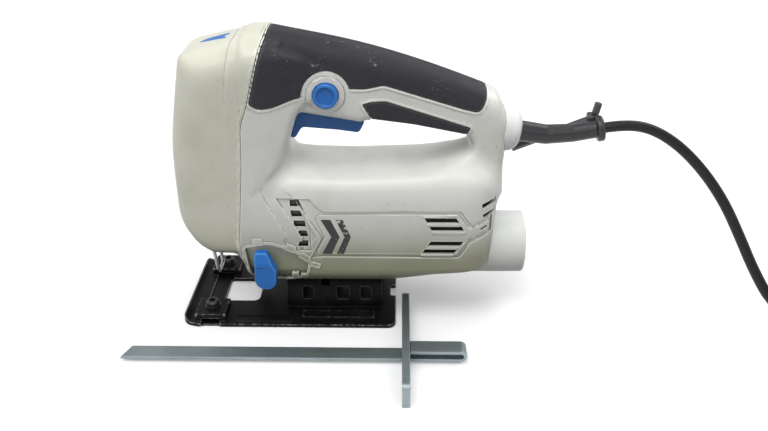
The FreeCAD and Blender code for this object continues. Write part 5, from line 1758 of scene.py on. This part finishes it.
# ---- sole, saddle and rip guide -------------------------------------------------------------------------
@dataclass
class Sole:
    """Pressed sole with its turned-up nose, guide bridges and ribs, and the saddle that it tilts on."""

    sheet: float = 2.5
    nose_height: float = 6.0
    bridge_height: float = 5.0
    clamp_x: float = -50.5
    clamp_y: float = 25.5
    slot_half: float = 5.85
    saddle_radius: float = 19.7
    saddle_sheet: float = 2.3
    tilt_height: float = 6.0
    slot_half_arc: float = 56.0
    screw_x: float = 22.0
    screw_bore: float = 4.0
    rib_top: float = 3.1
    step: float = 0.85

    PLAN = ((-68, -36, 7), (-58, -39, 5), (68, -39, 5), (68, 39, 5), (-58, 39, 5), (-68, 36, 7))
    OPENING = ((-46, -13, 2), (-23, -13, 4), (-23, 13, 4), (-46, 13, 2))
    # low corner, high corner and rounding of boxes that stand on both sides of the middle
    RIB = ((8, 24.5, 1.0), (54, 31.5, 3.5), 0.5)
    RIB_HOLLOW = ((10.5, 26.6, 2.7), (51.5, 29.6, 9.0), 0.6)
    PRESSED = ((-34, 29.5, 2.2), (2, 36, 8), 1.0)
    NOTCHES = (((64.5, -6, -5), (75, 6, 9), 1.0), ((30, 26.6, -5), (46, 29.4, 0.8), 0.0),
               ((-56, 37.9, -5), (-44.5, 45, 9), 0.8))
    SADDLE_X = (-3.0, 59.0)
    WINDOWS = ((7.5, 14.5), (29.5, 37.5), (45.0, 52.0))

    def plate(self, x: Array, y: Array, z: Array) -> Array:
        """Distance to the sole.

        Args:
            x, y, z: Where to measure, in millimetres.

        Returns:
            Signed distances, negative inside.
        """
        away = np.abs(y)
        plan, level = self.plan(x, y), np.abs(z - self.sheet / 2) - self.sheet / 2
        solid = round_max(plan, level, 1.0)
        nose = round_max(plan, np.abs(z - self.nose_height / 2) - self.nose_height / 2, 1.4)
        nose = np.maximum(nose, x + 60.5)
        nose = round_max(nose, 9.0 - np.hypot(x + 59.0, z - 10.5), 0.5)
        solid = round_min(solid, nose, 0.6)
        bridge = box_field(x, away, z, (self.clamp_x - 10, 17, 1.0), (self.clamp_x + 10, 36, 7.5), 1.3)
        solid = round_min(solid, bridge, 1.2)
        rib = np.maximum(box_field(x, away, z, *self.RIB), z - self.rib_top)
        rib = np.maximum(rib, -box_field(x, away, z, *self.RIB_HOLLOW))
        solid = round_min(solid, rib, 0.3)
        solid = round_max(solid, -box_field(x, away, z, *self.PRESSED), 0.3)
        slots = np.maximum(np.abs(x - self.clamp_x) - self.slot_half, np.abs(z - 2.9) - 1.4)
        cuts = np.minimum(self.opening(x, y), slots)
        cuts = np.minimum(cuts, np.hypot(x - self.screw_x, y) - self.screw_bore)
        for low, high, rounding in self.NOTCHES:
            cuts = np.minimum(cuts, box_field(x, away, z, low, high, rounding))
        cuts = np.minimum(cuts, np.maximum(np.hypot(x - self.clamp_x, away - self.clamp_y) - 2.2, 3.5 - z))
        return round_max(solid, -cuts, 0.5)

    def saddle(self, x: Array, y: Array, z: Array) -> Array:
        """Distance to the half-round saddle with its windows and arc slot.

        Args:
            x, y, z: Where to measure, in millimetres.

        Returns:
            Signed distances, negative inside.
        """
        away = np.hypot(y, z - self.tilt_height)
        first, last = self.SADDLE_X
        middle, half = (first + last) / 2, (last - first) / 2
        shell = round_max(np.abs(away - self.saddle_radius + self.saddle_sheet / 2) - self.saddle_sheet / 2,
                          np.abs(x - middle) - half, 0.6)
        web = np.maximum(np.maximum(away - self.saddle_radius + 0.5, self.saddle_radius - 6.5 - away),
                         np.abs(np.abs(x - middle) - half + 1.0) - 1.0)
        solid = np.maximum(round_min(shell, web, 0.6), self.sheet - z)
        arc = math.radians(self.slot_half_arc)
        wedge = np.abs(y) * math.cos(arc) - (z - self.tilt_height) * math.sin(arc)
        slot = round_max(wedge, np.abs(x - self.screw_x) - 3.2, 1.5)
        for start, end in self.WINDOWS:
            slot = np.minimum(slot, box_field(x, np.abs(y), z, (start, 8, 9), (end, 40, 16.5), 1.0))
        return round_max(solid, -slot, 0.4)

    def build(self, looks: Looks) -> None:
        """Make the sole, the saddle and their screws.

        Args:
            looks: Every finish by name.
        """
        self.plan, self.opening = Outline(self.PLAN, 0.4), Outline(self.OPENING, 0.25)
        grid = [planes(-69, 69, self.step), planes(-40, 40, self.step), planes(-0.6, 8.2, 0.55)]
        net_piece(self.plate, grid, "sole_pressing", "sole", looks["paint"], "sole_plate")
        net_piece(self.saddle, box_grid((-3, -19.8, 2.4), (59, 19.8, 25.8), 0.8),
                  "saddle_pressing", "sole", looks["saddle"], "bevel_saddle")
        seats = [(self.clamp_x, side * self.clamp_y, self.sheet + self.bridge_height) for side in (-1, 1)]
        ScrewSet("clamp_screws", "sole", "steel_dark", ["guide_clamp_screws"], seats, (0.0, 0.0, 0.0),
                 head_radius=4.1, head_height=4.2, shank_radius=2.0, shank_length=2.6, recess=2.2,
                 drive=Drive.HEX, washer_radius=5.0).build(looks["dark_steel"])


@dataclass
class RipGuide:
    """Flat plated arm folded back on itself, with the fence bar across it."""

    middle_y: float = -68.0
    width: float = 10.5
    sheet: float = 2.0
    bottom: float = 2.0
    gap: float = 3.4
    tip_x: float = -96.5
    tip_cut: float = 4.0            # how much further in the far edge of the tip lies
    bend_x: float = 107.0
    fence_x: float = 72.1
    fence_sheet: float = 4.6
    fence_ends: Point2 = (-110.0, -18.5)
    fence_height: float = 15.0

    def arm(self, x: Array, y: Array, z: Array) -> Array:
        """Distance to the arm: one strip that runs out, turns and comes back over itself.

        Args:
            x, y, z: Where to measure, in millimetres.

        Returns:
            Signed distances, negative inside.
        """
        half, turn = self.sheet / 2, (self.sheet + self.gap) / 2
        centre = self.bottom + half + turn
        tip = self.tip_x + half + self.tip_cut * np.clip((y - self.middle_y) / self.width + 0.5, 0.0, 1.0)
        lower = np.hypot(np.maximum(np.maximum(tip - x, x - self.bend_x), 0.0), z - self.bottom - half)
        leaf_start = self.fence_x + self.fence_sheet
        upper = np.maximum(np.maximum(leaf_start + half - x, x - self.bend_x), 0.0)
        upper = np.hypot(upper, z - centre - turn)
        past = x - self.bend_x
        bend = np.hypot(np.hypot(np.maximum(past, 0.0), z - centre) - turn, np.minimum(past, 0.0))
        strip = np.minimum(np.minimum(lower, upper), bend) - half
        return round_max(strip, np.abs(y - self.middle_y) - self.width / 2, 0.6)

    def fence(self, x: Array, y: Array, z: Array) -> Array:
        """Distance to the fence bar, let down over the arm.

        Args:
            x, y, z: Where to measure, in millimetres.

        Returns:
            Signed distances, negative inside.
        """
        low = (self.fence_x, self.fence_ends[0], 0.0)
        high = (self.fence_x + self.fence_sheet, self.fence_ends[1], self.fence_height)
        bar = box_field(x, y, z, low, high, 0.5)
        far = np.hypot(np.maximum(np.abs(y + 64.25) - 41.75, 0.0), np.maximum(z - 11.0, 0.0)) - 4.0
        slot = np.maximum(np.abs(y - self.middle_y) - self.width / 2, np.abs(z - self.bottom - 1.0) - 1.0)
        return np.maximum(round_max(bar, far, 0.5), -slot)

    def build(self, looks: Looks) -> None:
        """Make the arm and the fence.

        Args:
            looks: Every finish by name.
        """
        along = np.concatenate([planes(-97.5, 70, 1.6), planes(70.7, 112, 0.7)])
        grid = [along, planes(-74, -62, 0.6), planes(1.2, 10.2, 0.35)]
        net_piece(self.arm, grid, "guide_strip", "rip_guide", looks["zinc"], "guide_arm")
        grid = [planes(71.3, 77.5, 0.5), planes(-110.8, -17.8, 0.9), planes(-0.6, 15.6, 0.55)]
        net_piece(self.fence, grid, "guide_bar", "rip_guide", looks["zinc"], "guide_fence")


@dataclass
class Plug:
    """Flat two-pin plug, lying on its side, with finger ribs and a short neck."""

    back: Point3 = (404.0, -49.5, 8.0)
    length: float = 40.0
    half: float = 17.2
    thick: float = 16.0
    ribs: int = 5
    rib_pitch: float = 3.2
    rib_start: float = 21.0
    rib_depth: float = 0.8
    step: float = 0.8

    def __post_init__(self) -> None:
        """Measure the outlines of the body."""
        x0, y0, z0 = self.back
        front, low, high = x0 + self.length, 0.2, self.thick - 0.2
        self.plan = Outline([(x0, y0 - 5.6, 1), (x0 + 12, y0 - 6.8, 8), (x0 + 22, y0 - self.half, 8),
                             (front, y0 - self.half, 3), (front, y0 + self.half, 3),
                             (x0 + 22, y0 + self.half, 8), (x0 + 12, y0 + 6.8, 8), (x0, y0 + 5.6, 1)], 0.3)
        self.side = Outline([(x0, z0 - 5.6, 2), (x0 + 14, low, 8), (front, low, 2), (front, high, 2),
                             (x0 + 14, high, 8), (x0, z0 + 5.6, 2)], 0.3)

    def _body(self, x: Array, y: Array, z: Array) -> Array:
        """Distance to the plug's body, with the grooves between its finger ribs.

        Args:
            x, y, z: Where to measure, in millimetres.

        Returns:
            Signed distances, negative inside.
        """
        body = round_max(self.plan(x, y), self.side(x, z), 3.0)
        along, half_run = x - self.back[0] - self.rib_start, self.ribs * self.rib_pitch / 2
        phase = np.abs(along % self.rib_pitch - self.rib_pitch / 2)
        groove = np.maximum(0.55 - phase, np.abs(along - half_run) - half_run)
        groove = np.maximum(groove, 10.0 - np.abs(y - self.back[1]))
        return round_max(body, -np.maximum(groove, -body - self.rib_depth), 0.4)

    def build(self, looks: Looks) -> list[bpy.types.Object]:
        """Make the plug's body and dress its pins.

        Args:
            looks: Every finish by name.

        Returns:
            The plug's pieces.
        """
        x0, y0, _ = self.back
        grid = box_grid((x0, y0 - 17.6, 0), (x0 + self.length, y0 + 17.6, self.thick), self.step)
        piece = net_piece(self._body, grid, "two_pin_plug", "saw_body",
                          looks["black_plastic"], "plug")
        dress_nodes(looks["brass"], "plug_pins")
        return [piece, bpy.data.objects["plug_pins"]]


# ---- floor, light and camera ----------------------------------------------------------------------------
@dataclass
class Studio:
    """Pale floor, soft light and the camera."""

    eye: Point3 = (70.0, -420.3, 295.1)
    pitch: float = 29.16
    yaw: float = 1.33
    roll: float = 0.35
    lens: float = 35.156
    sensor: float = 36.0
    floor_half: float = 4.0
    floor_glow: float = 0.14
    floor_fade: Point2 = (0.8, 1.9)  # metres from the saw over which the floor turns plain white
    floor_bounce: float = 0.05
    sky: float = 0.92
    horizon: float = 0.5            # share of the sky's light left at the horizon
    lit: Point3 = (0.05, 0.0, 0.08)  # where the lamps look, in metres

    # name, place and side in metres, power in watts
    LAMPS = (("key", (-0.25, -0.55, 1.6), 0.9, 11.0), ("rim", (0.9, 0.6, 1.2), 0.8, 5.0),
             ("front", (0.3, -1.5, 1.1), 1.2, 4.0))

    def build(self) -> None:
        """Make everything that isn't part of the object."""
        self._camera()
        self._world()
        self._floor()
        for lamp in self.LAMPS:
            self._lamp(*lamp)
        LOG.info("studio ready")

    def _camera(self) -> None:
        """Place the camera by its pitch, yaw and roll."""
        pitch, yaw, roll = (math.radians(a) for a in (self.pitch, self.yaw, self.roll))
        ahead = Vector((-math.sin(yaw) * math.cos(pitch), math.cos(yaw) * math.cos(pitch), -math.sin(pitch)))
        level = Vector((math.cos(yaw), math.sin(yaw), 0.0))
        upright = level.cross(ahead)
        right = level * math.cos(roll) - upright * math.sin(roll)
        up = upright * math.cos(roll) + level * math.sin(roll)
        data = bpy.data.cameras.new("camera")
        data.lens = self.lens
        data.sensor_width = self.sensor
        data.clip_start = 0.01
        camera = bpy.data.objects.new("camera", data)
        matrix = Matrix((right, up, -ahead)).transposed().to_4x4()
        matrix.translation = Vector(self.eye) * MM
        camera.matrix_world = matrix
        bpy.context.collection.objects.link(camera)
        bpy.context.scene.camera = camera
        bpy.context.scene.view_settings.view_transform = "Standard"

    def _world(self) -> None:
        """Sky brighter overhead than at the horizon, white to the eye and through glass."""
        world = bpy.data.worlds.new("studio")
        world.use_nodes = True
        tree = world.node_tree
        tree.nodes.clear()
        nodes = Nodes(tree)
        path = [nodes.add("ShaderNodeLightPath", output=name)
                for name in ("Is Camera Ray", "Is Transmission Ray")]
        look = nodes.add("ShaderNodeMath", {"operation": "MAXIMUM"}, {0: path[0], 1: path[1]})
        ray = nodes.add("ShaderNodeTexCoord", output="Generated")
        up = nodes.add("ShaderNodeSeparateXYZ", {}, {0: ray}, "Z")
        light = (up.step(-0.2, 1.0) * (1.0 - self.horizon) + self.horizon) * self.sky
        sockets = {"Color": (1.0, 1.0, 1.0, 1.0), "Strength": light * (1.0 - look) + look}
        background = nodes.add("ShaderNodeBackground", {}, sockets)
        output = tree.nodes.new("ShaderNodeOutputWorld")
        tree.links.new(background.socket, output.inputs["Surface"])
        bpy.context.scene.world = world

    def _floor(self) -> None:
        """Wide white floor that takes the shadow; it glows to the eye, most of all far away."""
        half = self.floor_half
        mesh = bpy.data.meshes.new("floor")
        corners = [(-half, -half, 0), (half, -half, 0), (half, half, 0), (-half, half, 0)]
        mesh.from_pydata(corners, [], [(0, 1, 2, 3)])
        floor = bpy.data.objects.new("floor", mesh)
        bpy.context.collection.objects.link(floor)
        shader = Shader("floor_white")
        path = [shader.add("ShaderNodeLightPath", output=name)
                for name in ("Is Camera Ray", "Is Glossy Ray", "Is Transmission Ray")]
        seen = path[0] + path[1] + path[2]
        white, dim = (0.86, 0.86, 0.86, 1.0), (self.floor_bounce,) * 3 + (1.0,)
        diffuse = shader.add("ShaderNodeBsdfDiffuse", {}, {"Color": shader.mix(seen, dim, white)})
        place = shader.add("ShaderNodeTexCoord", output="Object")
        reach = shader.add("ShaderNodeVectorMath", {"operation": "LENGTH"}, {0: place}, "Value")
        far = reach.step(*self.floor_fade)
        glow = shader.add("ShaderNodeEmission", {}, {"Strength": seen * (far + self.floor_glow)})
        both = shader.add("ShaderNodeAddShader", {}, {0: diffuse, 1: glow})
        shader.tree.links.new(both.socket, shader.output.inputs["Surface"])
        mesh.materials.append(shader.material)

    def _lamp(self, name: str, place: Point3, size: float, power: float) -> None:
        """Soft square lamp that looks at the middle of the saw.

        Args:
            name: The lamp's name.
            place: Where it stands, in metres.
            size: Its side, in metres.
            power: Its power, in watts.
        """
        data = bpy.data.lights.new(name, "AREA")
        data.size = size
        data.energy = power
        lamp = bpy.data.objects.new(name, data)
        lamp.location = place
        aim = Vector(self.lit) - Vector(place)
        lamp.rotation_euler = aim.to_track_quat("-Z", "Y").to_euler()
        bpy.context.collection.objects.link(lamp)


# ---- mains lead -----------------------------------------------------------------------------------------
@dataclass
class MainsLead:
    """The lead: down from its sleeve to the floor, seven turns in a coil and a short tail to the plug."""

    diameter: float = 6.5
    coil_centre: Point2 = (352.0, -94.0)
    coil_radius: float = 38.0
    points_per_turn: int = 16
    turns: int = 7
    shift: float = 0.27             # share of a cell's stay in which the strand moves over to the next cell

    ROUTE = ((192.0, 0.0, 121.4), (204.0, 0.0, 123.53), (219.5, -1.2, 122.0), (236.5, -3.5, 112.6),
             (253.0, -7.5, 97.5), (268.0, -12.5, 78.5), (280.0, -17.5, 57.5), (290.5, -24.5, 37.0),
             (302.5, -33.5, 18.0), (321.5, -43.5, 6.2), (344.0, -49.5, 3.25))
    TAIL = ((370.0, -49.5, 16.25), (388.0, -49.5, 8.0), (404.0, -49.5, 8.0))
    CELLS = ((1, 0), (0, 0), (-1, 0), (-1, 1), (-1, 2), (0, 2), (0, 1), (1, 1), (1, 2))

    def coil_points(self) -> list[Point3]:
        """Control points of the turns: the strand stays in one cell of the bundle, then moves to the next.

        Returns:
            The points in order, in millimetres.
        """
        count = self.turns * self.points_per_turn
        step = 2 * math.pi / self.points_per_turn
        points = []
        for index in range(count):
            stay = (index + 0.5) / count * len(self.CELLS)
            cell = min(int(stay), len(self.CELLS) - 1)
            following = self.CELLS[min(cell + 1, len(self.CELLS) - 1)]
            share = max(0.0, (stay - cell - (1 - self.shift)) / self.shift)
            share = share * share * (3 - 2 * share)
            across = self.CELLS[cell][0] * (1 - share) + following[0] * share
            layer = self.CELLS[cell][1] * (1 - share) + following[1] * share
            radius = (self.coil_radius + across * self.diameter) / math.cos(step / 2)
            angle = math.pi / 2 - (index + 0.5) * step
            points.append((self.coil_centre[0] + radius * math.cos(angle),
                           self.coil_centre[1] + radius * math.sin(angle), self.diameter * (0.5 + layer)))
        return points

    def build(self, sheath: bpy.types.Material, plug_pieces: Sequence[bpy.types.Object]) -> None:
        """Args:
            sheath: Material of the sheath.
            plug_pieces: The plug's pieces, which lie on the lead's end; not used.
        """
        points = [*self.ROUTE, *self.coil_points(), *self.TAIL]
        data = bpy.data.curves.new("mains_lead", "CURVE")
        data.dimensions = "3D"
        data.bevel_depth = self.diameter / 2 * MM
        data.bevel_resolution = 4
        data.resolution_u = 8
        data.use_fill_caps = True
        spline = data.splines.new("NURBS")
        spline.points.add(len(points) - 1)
        for control, place in zip(spline.points, points):
            control.co = (*(value * MM for value in place), 1.0)
        spline.order_u = 3
        spline.use_endpoint_u = True
        data.materials.append(sheath)
        lead = bpy.data.objects.new("mains_lead", data)
        bpy.context.collection.objects.link(lead)
        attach(lead, "saw_body")
        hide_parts("mains_cord", "cord_coil", "plug_lead")
        LOG.info("mains lead: %d control points", len(points))


# ---- the whole ------------------------------------------------------------------------------------------
def dress_mechanism(looks: Looks) -> None:
    """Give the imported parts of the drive, the motor and the blade end their finishes.

    Args:
        looks: Every finish by name.
    """
    dressed = {
        "steel": ("plunger", "guide_roller", "crank_pin", "motor_shaft", "fork_pin", "bearings",
                  "trigger_pin", "blade_clamp_screw", "selector_shaft", "bevel_screw"),
        "dark_steel": ("drive_gear", "pinion", "yoke", "blade_clamp", "orbit_fork", "armature_core",
                       "field_core"),
        "alloy": ("gear_case", "saddle_seat", "rear_bearing_bracket"),
        "brass": ("plunger_bushes", "brush_holders"),
        "copper": ("field_coils", "commutator"),
        "black_plastic": ("cooling_fan", "switch_block", "cord_clamp", "brushes"),
        "blue": ("capacitor",)}
    for look, nodes in dressed.items():
        dress_nodes(looks[look], *nodes)


def main() -> None:
    """Build the studio and every piece, in order."""
    logging.basicConfig(level=logging.INFO, format="%(name)s %(message)s")
    Studio().build()
    looks = Finishes().build()
    dress_mechanism(looks)
    MainsLead().build(looks["lead"], Plug().build(looks))
    housing = Housing()
    housing.build(looks["halves"], looks["cover"])
    HandGrip(housing).build(looks["grip"], looks["blue"])
    CordEntry(housing.form).build(looks)
    DustPort().build(looks)
    Controls().build(looks)
    Sole().build(looks)
    RipGuide().build(looks)
    seats = [(x, seat, z) for x, z, seat in Housing.SCREWS]
    ScrewSet("body_screws", "saw_body", "steel_dark", ["housing_screws"], seats, (-90.0, 0.0, 0.0),
             head_radius=3.0, head_height=2.2, shank_radius=1.6, shank_length=12.0, recess=1.7,
             drive=Drive.CROSS).build(looks["dark_steel"])
    wire = [(-51.0, 6.5, 57.5), (-51.0, 6.5, 40.0), (-49.0, 6.5, 20.7)]
    path = [(x, -y, z) for x, y, z in wire] + wire[::-1]
    mesh = bent_bar("finger_guard", path, radius=1.15, bend=3.0, sides=14, material=looks["steel"])
    finish_piece(mesh, "finger_guard", "saw_body", looks["steel"], ["blade_guard_wire"])


if __name__ == "__main__":
    main()
